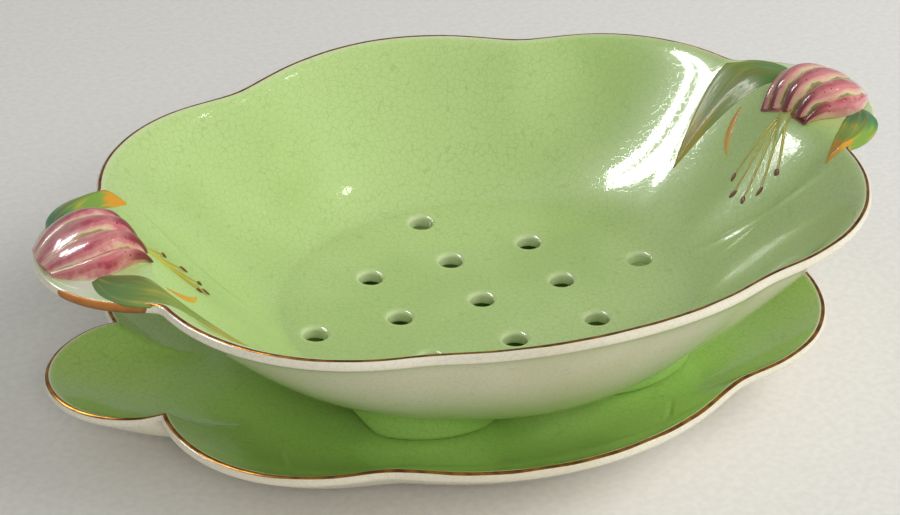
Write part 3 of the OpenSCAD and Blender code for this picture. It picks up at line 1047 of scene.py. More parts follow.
@dataclass(frozen=True)
class Drainer:
    """The pierced bowl: wall, floor, gilt line and foot pads."""

    form: DrainerForm
    finishes: Finishes
    sections: int = 720
    inner_steps: int = 58
    lip_steps: int = 16
    outer_steps: int = 34
    inner_crowding: float = 1.25
    outer_crowding: float = 1.15
    # Drain holes and the mesh of the floor round them
    hole_r: float = 3.9
    hole_lip_w: float = 1.6
    hole_lip_h: float = 1.2
    hole_underside: float = 0.5
    hole_steps: int = 72
    mouth_steps: int = 11
    mouth_pale: Spot = (0.08, 0.85)
    bore_pale: tuple[float, ...] = (0.6, 0.35, 0.2, 0.1)
    halo: Spot = (-0.1, 0.8)
    pitch_length: float = 29.2
    pitch_width: float = 26.1
    grid_step: float = 2.4
    grid_clear: float = 3.2
    grid_share: float = 0.975
    gap_rings: tuple[float, ...] = (0.0, 0.8, 2.0)
    weld_mm: float = 0.002
    # Gilt line: its edges as turns round the lip, and where its runs start and end after a lug
    gilt_edges: Spot = (26.0, 58.0)
    gilt_waves: tuple[Wave, ...] = ((3, 7, 20), (2, 17, 0), (1.5, 41, 0))
    gilt_steps: int = 8
    gilt_after: float = 14.5
    gilt_before: float = 12.5
    # Colours of the wall: spots of ivory as a place on the lug, a size and a share
    green_waves: tuple[Wave, ...] = ((0.012, 5, 40), (0.012, 11, 0))
    # Share of green on the lower outside and the underside: painted reflection of the green plate
    painted_plate_reflection_green: float = 0.35
    ivory_spots: tuple[tuple[Spot, float, float], ...] = (
        ((0.935, 0.5), 8.0, 1.0),
        ((0.93, -0.42), 6.0, 0.5),
    )
    ivory_most: float = 0.85
    # Moulded ridges that run down from the small leaves
    ridge_height: float = 0.5
    ridge_spread: float = 1.3
    ridge_ends: tuple[Spot, Spot] = ((0.77, -1.18), (0.5, -0.3))
    # Foot pads, each an arc round a centre of its own, between turns at its base and at its top
    foot_x: float = 29.4
    foot_y: float = 16.2
    foot_arc: float = 37.5
    foot_t: float = 5.0
    foot_flare: float = 1.5
    foot_base_turns: Spot = (45.0, 108.0)
    foot_top_turns: Spot = (27.0, 118.0)
    foot_sink: float = 0.9
    foot_end_power: float = 7.0
    foot_end_least: float = 0.02
    foot_tuck: float = 0.35
    foot_tuck_rate: float = 14.0
    foot_rows: int = 61
    foot_steps: int = 15

    def angles(self) -> Array:
        """Directions of the sections, set closer at the lugs: t less a quarter of the sine of 2t."""
        t = round_turns(self.sections)
        return t - np.degrees(0.25 * sind(2 * t))

    def moulding(self, x: Array, y: Array) -> Array:
        """Height of the soft ridges that run down from the small leaves: bells round two lines."""
        lines = [[self.form.on_lug(side, *end) for end in self.ridge_ends] for side in Side]
        bells = [near_segment(x, y, start, end, self.ridge_spread) for start, end in lines]
        return self.ridge_height * sum(bells)

    def wall(self) -> Piece:
        """The wall with its lip: one looped section per direction, closed against the floor."""
        form = self.form
        a = self.angles()[:, None]
        well, rim = form.well(a), form.rim(a)
        s_in = np.linspace(0, 1, self.inner_steps + 1)[1:] ** self.inner_crowding
        s_out = np.linspace(1, 0, self.outer_steps + 1)[:-1] ** self.outer_crowding
        turns = np.linspace(0, 180, self.lip_steps + 2)[1:-1]
        reach = blend(well, rim, s_in)
        plain = form.skin(a, reach, 1)
        inner = form.skin(a, reach, 1, self.moulding(plain[..., 0], plain[..., 1]))
        floor = form.mid_z + well**2 / (2 * form.dish_radius)
        edge_plan = ring(a, well)
        first = np.concatenate([edge_plan, floor[..., None] + form.floor_t / 2], axis=-1)
        last = np.concatenate([edge_plan, floor[..., None] - form.floor_t / 2], axis=-1)
        outer = form.skin(a, blend(well, rim, s_out), -1)
        grid = np.concatenate([first, inner, form.lip(a, turns), outer, last], axis=1)
        piece = hoop("drainer_wall_glazed", grid)
        self.mark_wall(piece, grid, np.concatenate([[0.0], s_in, 1 + turns / 180, 3 - s_out, [3.0]]), a)
        mask = np.zeros(grid.shape[:2], bool)
        mask[:, 0] = True
        set_normals(piece, mask.ravel(), self.dish_normals(grid[:, 0]))
        return dress(piece, Body.DRAINER, "green_and_cream_glaze", self.finishes.glaze, "drainer_wall")

    def mark_wall(self, piece: Piece, grid: Array, over: Array, a: Array) -> None:
        """Mark where the wall is green, pale or ivory; the green towards the foot on the outside is a
        painted reflection of the green plate.

        Args:
            piece: The wall.
            grid: Its sections.
            over: How far each point of a section is over the lip: 0 floor, 1 to 2 lip, 3 foot.
            a: Directions of the sections.
        """
        inside, edge = lip_shares(over, waves(a, *self.green_waves))
        # Green eased in towards the foot on the outside: painted reflection of the green plate
        inside = inside + self.painted_plate_reflection_green * smooth_step(over, 2.55, 3.0)
        ivory = np.zeros(grid.shape[:2])
        for side in Side:
            for spot, size, share in self.ivory_spots:
                spot = self.form.on_lug(side, *spot)
                far = np.hypot(grid[..., 0] - spot[0], grid[..., 1] - spot[1])
                ivory = ivory + share * bell(far, size) * (over < 1.2)
        paint_map(piece, inside=inside, edge=edge, ivory=np.clip(ivory, 0, self.ivory_most))

    def dish_normals(self, points: Array) -> Array:
        """Normals of the floor's dish: straight up, leaned in by r over the dish radius."""
        up = np.full(points.shape[:-1], self.form.dish_radius)
        lean = np.stack([-points[..., 0], -points[..., 1], up], axis=-1)
        return lean / np.linalg.norm(lean, axis=-1, keepdims=True)

    def holes(self) -> Array:
        """Centres of the drain holes: a diamond of a lattice, two rows out from the middle."""
        u, v = np.meshgrid(np.arange(-2, 3), np.arange(-2, 3))
        keep = np.abs(u) + np.abs(v) <= 2
        return np.stack([u[keep] * self.pitch_length, v[keep] * self.pitch_width], axis=-1)

    def off_holes(self, plan: Array) -> Array:
        """Distance of each place from the centre of the nearest hole."""
        return np.linalg.norm(plan[..., None, :] - self.holes(), axis=-1).min(axis=-1)

    def sheet(self, radius: float, up: bool) -> tuple[Array, Array]:
        """Plan of the floor with a round gap at each hole, as triangles.

        Args:
            radius: Radius of the gaps.
            up: Whether the sheet faces up.

        Returns:
            Points in plan and triangles. The outline has one point per section of the wall.
        """
        outline = ring(self.angles(), self.form.well(self.angles()))
        t = round_turns(self.hole_steps)
        rings = [(self.holes()[:, None] + ring(t, radius + k)).reshape(-1, 2) for k in self.gap_rings]
        length, width, step = self.form.well_length, self.form.well_width, self.grid_step
        across = np.arange(-length, length, step)
        gx, gy = np.meshgrid(across, across)
        gx = gx + step / 2 * (np.arange(len(across))[:, None] % 2)
        loose = np.stack([gx.ravel(), gy.ravel()], axis=-1)
        share = np.hypot(*(loose / [length, width]).T)
        clear = self.off_holes(loose) > radius + self.grid_clear
        loose = loose[(share < self.grid_share) & clear]
        points = np.vstack([outline, *rings, loose])
        n = len(outline)
        loops = np.arange(n, n + len(rings[0])).reshape(-1, self.hole_steps)
        rim = np.stack([np.arange(n), np.roll(np.arange(n), -1)], axis=-1)
        edges = np.vstack([rim, np.stack([loops.ravel(), np.roll(loops, -1, axis=1).ravel()], axis=-1)])
        found = delaunay_2d_cdt([Vector(p) for p in points.tolist()], edges.tolist(), [], 1, 1e-5)
        plan, tri = np.array([v[:] for v in found[0]]), np.array(found[2])
        tri = tri[self.off_holes(plan[tri].mean(axis=1)) > radius]
        b, c = plan[tri[:, 1]] - plan[tri[:, 0]], plan[tri[:, 2]] - plan[tri[:, 0]]
        wrong = (b[:, 0] * c[:, 1] > b[:, 1] * c[:, 0]) != up
        tri[wrong] = tri[wrong][:, ::-1]
        return plan, tri

    def dish(self, plan: Array, side: float) -> Array:
        """Heights of the floor over a plan: the dish, half the clay up or down."""
        form = self.form
        return form.mid_z + (plan**2).sum(axis=-1) / (2 * form.dish_radius) + side * form.floor_t / 2

    def hole_shells(self) -> tuple[Array, Array]:
        """The inside of every hole, as rings of points from its mouth down.

        The mouth is a quarter of an ellipse, hole_lip_w wide and hole_lip_h deep, and the lower
        end a quarter circle of the radius hole_underside.

        Returns:
            Points by hole, step round and step down, and how pale each step down is.
        """
        turn, low = np.linspace(0, 90, self.mouth_steps), np.linspace(30, 90, 3)
        underside = self.hole_underside
        deep = self.form.floor_t - underside
        straight = np.linspace(blend(self.hole_lip_h, deep, 0.1), deep, len(self.bore_pale))
        widen = [self.hole_lip_w * (1 - sind(turn)), 0 * straight, underside * (1 - cosd(low))]
        reach = self.hole_r + np.concatenate(widen)
        drop = np.concatenate([self.hole_lip_h * (1 - cosd(turn)), straight, deep + underside * sind(low)])
        t = round_turns(self.hole_steps)
        plan = self.holes()[:, None, None] + reach[:, None] * ring(t)[:, None]
        top, bottom = self.dish(plan[:, :, :1], 1), self.dish(plan[:, :, -1:], -1)
        z = blend(top, bottom, drop / self.form.floor_t)
        pale = np.concatenate([blend(*self.mouth_pale, (turn / 90) ** 2), self.bore_pale, 0 * low])
        return np.concatenate([plan, z[..., None]], axis=-1), pale

    def floor(self) -> Piece:
        """The pierced floor: a dished sheet, its underside, its edge and the inside of each hole."""
        mouth = self.hole_r + self.hole_lip_w
        top_plan, top_tri = self.sheet(mouth, True)
        low_plan, low_tri = self.sheet(self.hole_r + self.hole_underside, False)
        shells, pale = self.hole_shells()
        holes, around, down, _ = shells.shape
        quads = grid_faces(around, down, True, False)[:, ::-1]
        quads = (quads + around * down * np.arange(holes)[:, None, None]).reshape(-1, 4)
        rim = ring(self.angles(), self.form.well(self.angles()))
        band = np.stack([np.column_stack([rim, self.dish(rim, side)]) for side in (1, -1)], axis=1)
        parts = [
            np.column_stack([top_plan, self.dish(top_plan, 1)]),
            np.column_stack([low_plan, self.dish(low_plan, -1)]),
            shells.reshape(-1, 3),
            band.reshape(-1, 3),
        ]
        starts = np.cumsum([0] + [len(part) for part in parts])
        faces = top_tri.tolist() + (low_tri + starts[1]).tolist() + (quads + starts[2]).tolist()
        faces += (grid_faces(len(rim), 2, True, False) + starts[3]).tolist()
        piece = new_piece("pierced_floor_glazed", np.vstack(parts), faces)
        start, end = mouth + self.halo[0], mouth + self.halo[1]
        halo = pale[0] * (1 - smooth_step(self.off_holes(top_plan), start, end))
        no_edge, no_rim = np.zeros(len(low_plan)), np.zeros(2 * len(rim))
        green = np.tile(np.linspace(1, 0.8, down), holes * around)
        # The underside of the floor and the lower edge of its band take the painted green reflection of
        # the plate
        upper, side_band = np.ones(len(top_plan)), np.tile([1, self.painted_plate_reflection_green], len(rim))
        paint_map(
            piece,
            edge=np.concatenate([halo, no_edge, np.tile(pale, holes * around), no_rim]),
            inside=np.concatenate([upper, no_edge + self.painted_plate_reflection_green, green, side_band]),
            ivory=np.zeros(starts[-1]),
        )
        self.weld(piece)
        return dress(piece, Body.DRAINER, "green_and_cream_glaze", self.finishes.glaze, "strainer_floor")

    def weld(self, piece: Piece) -> None:
        """Merge the doubles of the floor, and give its upper edge the normals of the dish.

        Args:
            piece: The floor.
        """
        welded = bmesh.new()
        welded.from_mesh(piece.data)
        bmesh.ops.remove_doubles(welded, verts=welded.verts, dist=self.weld_mm * MM)
        welded.to_mesh(piece.data)
        welded.free()
        place = np.empty(len(piece.data.vertices) * 3)
        piece.data.vertices.foreach_get("co", place)
        place = place.reshape(-1, 3) / MM
        turn = np.degrees(np.arctan2(place[:, 1], place[:, 0]))
        off = np.hypot(place[:, 0], place[:, 1]) - self.form.well(turn)
        edge = (np.abs(off) < 0.01) & (place[:, 2] > self.dish(place[:, :2], 0))
        set_normals(piece, edge, self.dish_normals(place[edge]))

    def gilt_line(self) -> Piece:
        """The gilt line on the inner shoulder of the lip, in two runs that leave out the lugs.

        Each run goes from the painted edge of one lug round to the small leaf of the other. It is
        a thin band whose edges waver.
        """
        share = np.linspace(0, 1, self.sections // 2)[:, None]
        runs = []
        for near, far in ((Side.RIGHT, Side.LEFT), (Side.LEFT, Side.RIGHT)):
            start = self.form.lug_turn(near)
            end = start + (self.form.lug_turn(far) - start) % 360
            a = blend(start + self.gilt_after, end - self.gilt_before, share)
            grid = self.form.gilt(a, self.gilt_edges, waves(a, *self.gilt_waves), self.gilt_steps)
            runs.append(tube(f"run_{near.value}", grid))
        piece = joined(runs, "drainer_gilt_line")
        return dress(piece, Body.DRAINER, "gilt_line", self.finishes.gilt, "drainer_rim_gilding")

    def foot_pad(self, name: str, sx: float, sy: float) -> Piece:
        """One foot pad: an upright arc of clay with rounded ends, flared where it meets the bowl.

        Args:
            name: The CAD node that it stands for.
            sx: 1 for the right pads and -1 for the left.
            sy: 1 for the back pads and -1 for the front.

        Returns:
            The piece.
        """
        form = self.form
        share = np.linspace(0, 1, self.foot_rows)[:, None]
        thin = 1 - np.abs(2 * share - 1) ** self.foot_end_power
        thin = np.sqrt(np.maximum(thin, self.foot_end_least))
        climb = np.linspace(0, 1, self.foot_steps)
        up = np.concatenate([climb, climb[::-1]])
        side = np.repeat([1.0, -1.0], self.foot_steps)
        first, last = (blend(*turns, up) for turns in zip(self.foot_base_turns, self.foot_top_turns))
        turn = blend(first, last, share)
        rounding = 1 - self.foot_tuck * np.exp(-self.foot_tuck_rate * up)
        reach = self.foot_arc - self.foot_t / 2 + side * thin * self.foot_t / 2 * rounding
        reach = reach + (side > 0) * self.foot_flare * up**2
        x, y = self.foot_x + reach * cosd(turn), self.foot_y + reach * sind(turn)
        z = blend(form.plate_floor_z + form.seat_gap, form.under(x, y) + self.foot_sink, up)
        grid = np.stack([sx * x, sy * y, z], axis=-1)
        piece = tube(f"{name}_glazed", grid[:, ::-1] if sx * sy > 0 else grid)
        whole = np.ones(len(piece.data.vertices))
        paint_map(piece, inside=0.95 * whole, edge=0 * whole, ivory=0 * whole)
        return dress(piece, Body.DRAINER, "green_glaze", self.finishes.plate_glaze, name)

    def build(self) -> None:
        """Make every piece of the drainer but its flowers."""
        self.wall()
        self.floor()
        self.gilt_line()
        for across, sx in (("right", 1), ("left", -1)):
            self.foot_pad(f"foot_pad_back_{across}", sx, 1)
            self.foot_pad(f"foot_pad_front_{across}", sx, -1)


@dataclass(frozen=True)
class Flower:
    """The moulded and painted flower on one lug."""

    form: DrainerForm
    finishes: Finishes
    side: Side
    # Flower head, with its widths and heights along the way from base to mouth
    head_length: float = 25.0
    head_width: float = 32.0
    head_height: float = 11.0
    head_skew: float = 7.0
    groove: float = 2.0
    petal_tip: float = 5.0
    petals: int = 5
    tip_swell: float = 0.7
    nose_from: float = 0.6
    head_rows: int = 110
    head_steps: int = 181
    petal_power: float = 0.6
    dome_power: float = 0.7
    nose_depth: float = 0.97
    base_out: float = 0.4
    base_run: float = 2.0
    mouth_swell_at: float = 0.86
    mouth_swell_spread: float = 0.08
    head_widths: tuple[float, ...] = (0.55, 0.78, 0.9, 0.97, 1, 1, 0.97, 0.92, 0.85, 0.78, 0.7)
    head_heights: tuple[float, ...] = (0.16, 0.46, 0.68, 0.83, 0.94, 1, 1, 0.98, 0.94, 0.9, 0.86)
    # Leaves, laid along three places each, as shares of the lug's reach and arc
    bond: float = 0.6
    leaf_height: float = 1.2
    crest: float = 0.3
    small_leaf_width: float = 12.0
    large_leaf_width: float = 18.0
    small_leaf_spots: tuple[Spot, ...] = ((0.945, -0.46), (0.88, -0.95), (0.755, -1.02))
    large_leaf_spots: tuple[Spot, ...] = ((0.9, 0.42), (0.83, 1.04), (0.61, 0.68))
    large_widths: tuple[float, ...] = (0.3, 0.66, 0.88, 0.98, 1, 0.93, 0.8, 0.62, 0.44, 0.26, 0.03)
    small_widths: tuple[float, ...] = (0.3, 0.7, 0.9, 0.98, 1, 0.97, 0.9, 0.8, 0.64, 0.4, 0.03)
    stroke_spots: tuple[Spot, ...] = ((0.765, 0.5), (0.715, 0.46), (0.685, 0.2))
    throat_spots: tuple[Spot, ...] = ((0.83, -0.06), (0.79, -0.12), (0.735, -0.3))
    # Fan of filaments: turns from the lug's direction, shares of the length, leans of the anthers
    mouth_spot: Spot = (0.8, -0.08)
    filament_length: float = 25.0
    filament_turns: tuple[float, ...] = (181, 193, 205, 217, 229)
    filament_shares: tuple[float, ...] = (0.8, 0.95, 1.0, 0.94, 0.8)
    filament_bow: float = 0.7
    filament_size: Spot = (1.1, 0.5)
    anther_size: Spot = (1.6, 0.8)
    anther_half_length: float = 1.25
    anther_leans: Spot = (35, -40)
    # Painted edge of the lug: turns round the lip where it starts and ends, with what it widens by
    edge_steps: tuple[int, int] = (90, 15)
    edge_out: float = 0.08
    edge_start: float = 6.0
    edge_search: Spot = (3.0, 40.0)
    edge_clearance: float = 1.02
    edge_from: Spot = (60.0, -35.0)
    edge_to: Spot = (64.0, 90.0)

    @property
    def turn(self) -> float:
        """Direction of the lug."""
        return self.form.lug_turn(self.side)

    def name(self, part: str) -> str:
        """Name of a piece of this flower."""
        return f"{self.side.value}_{part}"

    def places(self, *spots: Spot) -> list[Array]:
        """Places in plan on this lug, from shares of its reach and its arc."""
        return [self.form.on_lug(self.side, *spot) for spot in spots]

    def relief(self, name: str, plan: Array, rise: Array) -> Piece:
        """Close rows of relief, with the same rows sunk in the clay by the bond.

        Args:
            name: Name of the piece.
            plan: Places of the rows in plan.
            rise: Height of each place over the clay.

        Returns:
            The piece.
        """
        clay = self.form.top(plan[..., 0], plan[..., 1])
        over = np.concatenate([plan, (clay + rise)[..., None]], axis=-1)
        under = np.concatenate([plan, (clay - self.bond)[..., None]], axis=-1)[:, -2:0:-2]
        return tube(name, np.concatenate([over, under], axis=1))

    def mark(self, piece: Piece, **maps: Array) -> None:
        """Store maps for a relief.

        Args:
            piece: The relief.
            maps: Name of each map and its values on the upper rows, continued on the sunk rows.
        """
        paint_map(piece, **{key: np.concatenate([m, m[:, -2:0:-2]], axis=1) for key, m in maps.items()})

    def head(self) -> Piece:
        """The flower head: a dome of petals that ends in rounded tips at its mouth.

        Across the head the height follows the sine of the turn to a power, less a groove where
        the sine of five times the turn is nothing; along it, the eased run of heights, with a
        swell near the tips and a quarter of an ellipse at their ends. Its outer rows follow the
        arc of the lug's lip.
        """
        rows = self.head_rows
        u = np.linspace(0, 1, rows)[:, None]
        t = np.linspace(0, 180, self.head_steps)[None]
        wide = softened(self.head_widths, rows)[:, None]
        past = np.clip((u - self.nose_from) / (1 - self.nose_from), 0, 1)
        nose = np.sqrt(1 - self.nose_depth * past**2)
        tall = softened(self.head_heights, rows, 1)[:, None] * nose
        petal = np.abs(sind(self.petals * t)) ** self.petal_power
        base = (self.form.lug_reach + self.base_out) * ring(self.turn)
        along, aside = -ring(self.turn + self.head_skew), -ring(self.turn + self.head_skew + 90)
        half = self.head_width / 2 * wide * cosd(t)
        arc = self.form.lug_arc
        bow = (arc - np.sqrt(arc**2 - half**2)) * (1 - u) ** 2
        run = u * (self.head_length + self.base_run + self.petal_tip * petal) + bow
        plan = base + run[..., None] * along + half[..., None] * aside
        near_mouth = bell(u - self.mouth_swell_at, self.mouth_swell_spread)
        swell = self.tip_swell * near_mouth * petal**2 * sind(t)
        rise = self.head_height * tall * sind(t) ** self.dome_power
        rise = rise - self.groove * tall * (1 - petal) + swell
        piece = self.relief(self.name("flower_head_painted"), plan, np.maximum(rise, 0))
        phase = (self.petals * t / 180) % 1 + 0 * u
        self.mark(piece, phase=phase, along=u + 0 * t, petal=np.floor(self.petals * t / 180) + 0 * u)
        return dress(piece, Body.DRAINER, "petal_glaze", self.finishes.petal, self.name("flower_head"))

    def strip(
        self,
        name: str,
        places: Sequence[Array],
        size: tuple[float, float],
        widths: Sequence[float],
        steps: tuple[int, int],
        crest: float | None = None,
    ) -> Piece:
        """A strip of relief along a curve through three places.

        The middle line is the second-order curve (1-t)^2 A + 2t(1-t) B + t^2 C. Across it the
        height is the sine of the half turn to the power 1.4, which eases it out of the clay, or
        two nearly straight flanks that meet in a crest.

        Args:
            name: Name of the piece.
            places: Three places in plan.
            size: Full width, and height over the clay.
            widths: Shares of the width along the curve.
            steps: Steps along the curve and across it.
            crest: Place of the crest across the strip, from -1 to 1, or None for a rounded back.

        Returns:
            The piece, with maps along and across.
        """
        t = np.linspace(0, 1, steps[0])[:, None]
        turn = np.linspace(0, 180, steps[1])[None]
        a, b, c = places
        line = (1 - t) ** 2 * a + 2 * t * (1 - t) * b + t * t * c
        way = (1 - t) * (b - a) + t * (c - b)
        aside = np.stack([-way[:, 1], way[:, 0]], axis=-1) / np.linalg.norm(way, axis=1, keepdims=True)
        half = size[0] / 2 * softened(widths, steps[0])[:, None] * cosd(turn)
        plan = line[:, None] + half[..., None] * aside[:, None]
        back = np.abs(sind(turn)) ** 1.4
        if crest is not None:
            flank = np.minimum((1 - cosd(turn)) / (1 - crest), (1 + cosd(turn)) / (1 + crest))
            back = flank * (1.15 - 0.15 * flank**6)
        ends = softened((0.2, 0.9, 1, 1, 1, 0.9, 0.4), steps[0])[:, None]
        piece = self.relief(name, plan, size[1] * back * ends)
        self.mark(piece, along=t + 0 * turn, across=cosd(turn) + 0 * t)
        return piece

    def leaves(self) -> None:
        """The two low leaves beside the head."""
        small = (self.small_leaf_spots, self.small_leaf_width, self.small_widths)
        large = (self.large_leaf_spots, self.large_leaf_width, self.large_widths)
        for part, (spots, width, widths), finish in (
            ("small_leaf", small, self.finishes.small_leaf),
            ("large_leaf", large, self.finishes.large_leaf),
        ):
            name, size = self.name(part), (width, self.leaf_height + self.bond)
            places = self.places(*spots)
            piece = self.strip(name + "_painted", places, size, widths, (70, 41), self.crest)
            dress(piece, Body.DRAINER, "leaf_glaze", finish, name)

    def filaments(self) -> None:
        """The fan of filaments from the mouth, with a seed-shaped anther at the end of each."""
        (mouth,) = self.places(self.mouth_spot)
        thin, round_ends = (1, 0.95, 0.9, 0.85, 0.8), (0.15, 0.9, 1, 0.9, 0.15)
        threads, seeds = [], []
        for k, (turn, length) in enumerate(zip(self.filament_turns, self.filament_shares)):
            end = mouth + self.filament_length * length * ring(self.turn + turn)
            start = blend(mouth, end, 0.2)
            middle = blend(start, end, 0.5) + self.filament_bow * (k - 2) * ring(self.turn - 90)
            line = [start, middle, end]
            threads.append(self.strip(f"thread_{k}", line, self.filament_size, thin, (30, 9)))
            lean = self.anther_half_length * ring(self.turn + turn + self.anther_leans[k % 2])
            places = [end - lean, end, end + lean]
            seeds.append(self.strip(f"seed_{k}", places, self.anther_size, round_ends, (16, 13)))
        fan = joined(threads, self.name("filaments_painted"))
        dress(fan, Body.DRAINER, "filament_glaze", self.finishes.filament, self.name("filaments"))
        ends = joined(seeds, self.name("anthers_painted"))
        dress(ends, Body.DRAINER, "anther_glaze", self.finishes.anther, self.name("anthers"))

    def strokes(self) -> None:
        """A loose ochre brush stroke beside the large leaf, and the yellow throat of the flower."""
        stroke = (self.stroke_spots, (2.4, 0.25), (0.3, 0.85, 1, 0.8, 0.1), (40, 11))
        throat = (self.throat_spots, (7.5, 0.9), (0.9, 1, 0.75, 0.45, 0.15), (40, 15))
        for part, (spots, size, widths, steps), finish in (
            ("ochre_stroke", stroke, self.finishes.ochre),
            ("throat", throat, self.finishes.throat),
        ):
            piece = self.strip(self.name(part), self.places(*spots), size, widths, steps)
            dress(piece, Body.DRAINER, "leaf_glaze", finish)

    def painted_edge(self) -> None:
        """The broad orange-brown edge on the long side of the lug: a sleeve over its lip, darkening to
        brown on its outer, lower side as painted shade.

        It runs while the lug's outline stands clear of the body's outline.
        """
        steps, across = self.edge_steps
        looked = self.turn + np.linspace(*self.edge_search, 200)
        clear = looked[self.form.rim(looked) > self.form.body(looked) * self.edge_clearance]
        share = np.linspace(0, 1, steps)[:, None]
        a = blend(self.turn + self.edge_start, clear.max(), share)
        taper = np.clip(np.minimum(share / 0.15, (1 - share) / 0.05), 0, 1) ** 0.5
        first, last = (turn + more * taper for turn, more in (self.edge_from, self.edge_to))
        turns = blend(first, last, np.linspace(0, 1, across))
        piece = tube(self.name("painted_edge"), self.form.band(a, turns, self.edge_out))
        # The along map runs across the sleeve from its inner edge to its outer edge, where the finish
        # darkens as painted shade
        run = np.linspace(0, 1, across) + 0 * share
        paint_map(piece, along=np.concatenate([run, run[:, ::-1]], axis=1))
        dress(piece, Body.DRAINER, "leaf_glaze", self.finishes.edge)

    def build(self) -> None:
        """Make every piece of the flower."""
        self.head()
        self.leaves()
        self.filaments()
        self.strokes()
        self.painted_edge()


@dataclass(frozen=True)
class Underplate:
    """The lobed plate that the drainer stands in."""

    form: PlateForm
    finishes: Finishes
    sections: int = 720
    flat_steps: int = 15
    wall_steps: int = 60
    lip_steps: int = 14
    under_steps: int = 24
    gilt_edges: Spot = (32.0, 76.0)
    gilt_waves: tuple[Wave, ...] = ((4, 6, 80), (3, 19, 0), (2, 37, 0))
    gilt_steps: int = 9
    green_waves: tuple[Wave, ...] = ((0.012, 7, 0), (0.012, 13, 60))
    crease_depth: float = 0.35
    crease_spread: float = 0.7
    creases: tuple[tuple[Spot, Spot], ...] = (
        ((-83.0, -34.0), (-90.0, -66.0)),
        ((38.0, -62.0), (25.0, -82.0)),
    )

    @property
    def angles(self) -> Array:
        """Directions of the sections, as a column."""
        return round_turns(self.sections)[:, None]

    def moulding(self, x: Array, y: Array) -> Array:
        """Depth of the shallow moulded creases in the wall: bells round two short lines."""
        bells = [near_segment(x, y, start, end, self.crease_spread) for start, end in self.creases]
        return -self.crease_depth * sum(bells)

    def plate(self) -> Piece:
        """The whole plate as one closed dish, from the middle of its top round to its underside."""
        form = self.form
        a = self.angles
        well, rim = form.well(a), form.rim(a)
        flat, s_in = (np.linspace(0, 1, n + 1)[1:] for n in (self.flat_steps, self.wall_steps))
        s_out = np.linspace(1, 0, self.under_steps + 1)
        turns = np.linspace(0, 180, self.lip_steps + 2)[1:-1]
        centre = np.array([-form.shift, 0.0])
        top_plan, low_plan = centre + ring(a, well * flat), centre + ring(a, well * flat[::-1])
        top = np.concatenate([top_plan, np.full((*top_plan.shape[:2], 1), form.floor_z)], axis=-1)
        low = np.concatenate([low_plan, np.full((*low_plan.shape[:2], 1), form.foot_h)], axis=-1)
        plain = form.skin(a, blend(well, rim, s_in), 1)
        inner = form.skin(a, blend(well, rim, s_in), 1, self.moulding(plain[..., 0], plain[..., 1]))
        outer = form.skin(a, blend(well, rim, s_out), -1)
        grid = np.concatenate([top, inner, form.lip(a, turns), outer, low[:, 1:]], axis=1)
        rows, columns, _ = grid.shape
        poles = np.array([[-form.shift, 0, form.floor_z], [-form.shift, 0, form.foot_h]])
        i = np.arange(rows) * columns
        k = np.roll(i, -1)
        upper = np.stack([np.full(rows, rows * columns), i, k], axis=-1)
        lower = np.stack([np.full(rows, rows * columns + 1), k + columns - 1, i + columns - 1], axis=-1)
        faces = grid_faces(rows, columns, True, False).tolist() + upper.tolist() + lower.tolist()
        piece = new_piece("underplate_glazed", np.vstack([grid.reshape(-1, 3), poles]), faces)
        over = [0 * flat, s_in, 1 + turns / 180, 3 - s_out, 3 + 0 * flat[1:]]
        inside, edge = lip_shares(np.concatenate(over), waves(a, *self.green_waves))
        paint_map(
            piece,
            inside=np.concatenate([inside.ravel(), [1.0, 0.0]]),
            edge=np.concatenate([edge.ravel(), np.zeros(2)]),
            ivory=np.zeros(rows * columns + 2),
        )
        slot, finish = "green_and_cream_glaze", self.finishes.plate_glaze
        return dress(piece, Body.UNDERPLATE, slot, finish, "underplate_wall", "underplate_floor")

    def gilt_line(self) -> Piece:
        """The gilt line on the crown of the plate's lip."""
        a = self.angles
        grid = self.form.gilt(a, self.gilt_edges, waves(a, *self.gilt_waves), self.gilt_steps)
        piece = hoop("underplate_gilt_line", grid)
        return dress(piece, Body.UNDERPLATE, "gilt_line", self.finishes.gilt, "underplate_rim_gilding")

    def foot_ring(self, nodes: Mapping[str, Piece]) -> None:
        """Dress the CAD foot ring in ivory glaze."""
        ring_node = nodes["underplate_foot_ring"]
        ring_node.data.materials.clear()
        ring_node.data.materials.append(EarthenwareGlaze("ivory_gloss_glaze_on_foot_ring").make())
        LOG.info("underplate_foot_ring: CAD piece in ivory glaze")

    def build(self, nodes: Mapping[str, Piece]) -> None:
        """Make every piece of the plate."""
        self.plate()
        self.gilt_line()
        self.foot_ring(nodes)


# Studio


@dataclass(frozen=True)
class Lamp:
    """A soft rectangular lamp aimed at the set.

    Azimuth runs against the clock from +X, and elevation up from the floor, both in degrees.
    Distance and size are in metres, power in watts. A lamp without glint lights the set but is
    not mirrored in the glaze, and one without light is only mirrored.
    """

    name: str
    azimuth: float
    elevation: float
    distance: float
    size: tuple[float, float]
    power: float
    glint: bool = True
    light: bool = True

    def build(self) -> None:
        """Make the lamp."""
        data = bpy.data.lights.new(self.name, "AREA")
        data.shape = "RECTANGLE"
        data.size, data.size_y = self.size
        data.energy = self.power
        lamp = bpy.data.objects.new(self.name, data)
        bpy.context.scene.collection.objects.link(lamp)
        across, up = float(cosd(self.elevation)), float(sind(self.elevation))
        way = Vector((across * float(cosd(self.azimuth)), across * float(sind(self.azimuth)), up))
        lamp.location = Vector((0, 0, 0.04)) + self.distance * way
        lamp.rotation_euler = way.to_track_quat("Z", "Y").to_euler()
        lamp.visible_glossy = self.glint
        lamp.visible_diffuse = self.light


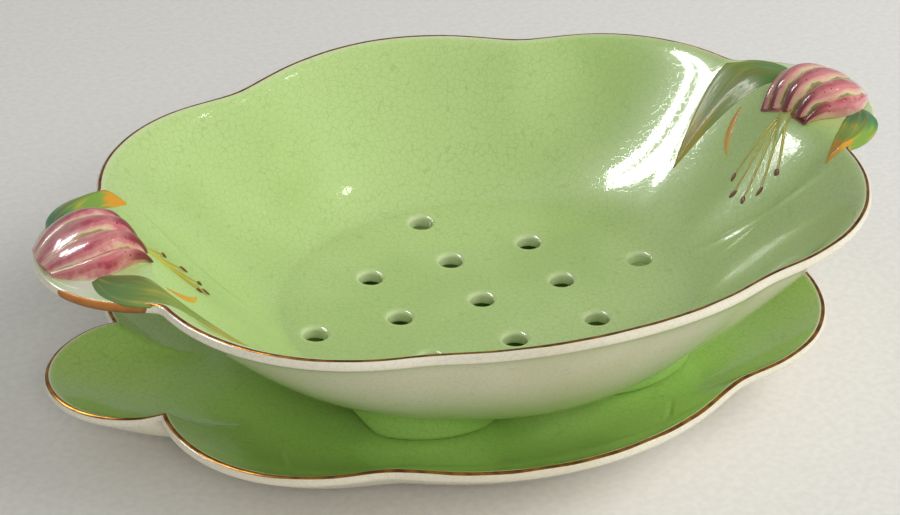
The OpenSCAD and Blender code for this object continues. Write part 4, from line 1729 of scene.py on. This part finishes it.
@dataclass(frozen=True)
class Studio:
    """Pale floor, soft lights and the camera at the photographed angle."""

    eye_mm: tuple[float, float, float] = (-237.55, -525.06, 385.76)
    target_mm: tuple[float, float, float] = (0.65, 28.2, 19.0)
    lens_mm: float = 82.87
    floor_reach_mm: float = 3000.0
    room_colour: str = "#EDEEEC"
    room_strength: float = 0.42
    lamps: tuple[Lamp, ...] = (
        Lamp("window_left_pane", 158.5, 53, 1.25, (0.085, 0.6), 4.0, light=False),
        Lamp("window_right_pane", 146.5, 54, 1.25, (0.14, 0.6), 5.5, light=False),
        Lamp("window_sill", 143, 36, 1.25, (0.36, 0.16), 2.6, light=False),
        Lamp("key_front_right", -22, 34, 1.5, (1.3, 1.0), 16.5, glint=False),
        Lamp("fill_front", -105, 33, 1.6, (0.6, 0.4), 5.5, glint=False),
        Lamp("glint_front_right", -30, 45, 1.5, (0.1, 0.07), 0.25, light=False),
    )

    def camera(self) -> None:
        """Set the camera. The lens holds for a picture 900 wide and 515 high on a 36 mm sensor."""
        data = bpy.data.cameras.new("camera")
        data.sensor_fit = "HORIZONTAL"
        data.sensor_width = 36.0
        data.lens = self.lens_mm
        data.clip_start = 0.01
        camera = bpy.data.objects.new("camera", data)
        bpy.context.scene.collection.objects.link(camera)
        eye, target = Vector(self.eye_mm) * MM, Vector(self.target_mm) * MM
        camera.location = eye
        camera.rotation_euler = (target - eye).to_track_quat("-Z", "Y").to_euler()
        bpy.context.scene.camera = camera

    def floor(self) -> None:
        """A wide pale sheet under the set."""
        reach = self.floor_reach_mm
        corners = reach * np.array([[-1, -1, 0], [1, -1, 0], [1, 1, 0], [-1, 1, 0]])
        sheet = new_piece("floor", corners, [[0, 1, 2, 3]], smooth=False)
        sheet.data.materials.append(PalePaper("matt_pale_paper").make())

    def world(self) -> None:
        """An even pale room."""
        world = bpy.data.worlds.new("pale_room")
        bpy.context.scene.world = world
        world.use_nodes = True
        tree = world.node_tree
        tree.nodes.clear()
        light = {"Color": linear(self.room_colour), "Strength": self.room_strength}
        room = add_node(tree, "Background", light)
        add_node(tree, "OutputWorld", {"Surface": room}, None)

    def build(self) -> None:
        """Set up the whole studio."""
        self.camera()
        self.floor()
        self.world()
        for lamp in self.lamps:
            lamp.build()
        bpy.context.scene.view_settings.view_transform = "Standard"


def main() -> None:
    """Build the set in order."""
    logging.basicConfig(level=logging.INFO, format="%(message)s")
    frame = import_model()
    Studio().build()
    finishes = Finishes.make()
    form = DrainerForm()
    Underplate(PlateForm(), finishes).build(frame["nodes"])
    Drainer(form, finishes).build()
    for side in Side:
        Flower(form, finishes, side).build()


if __name__ == "__main__":
    main()
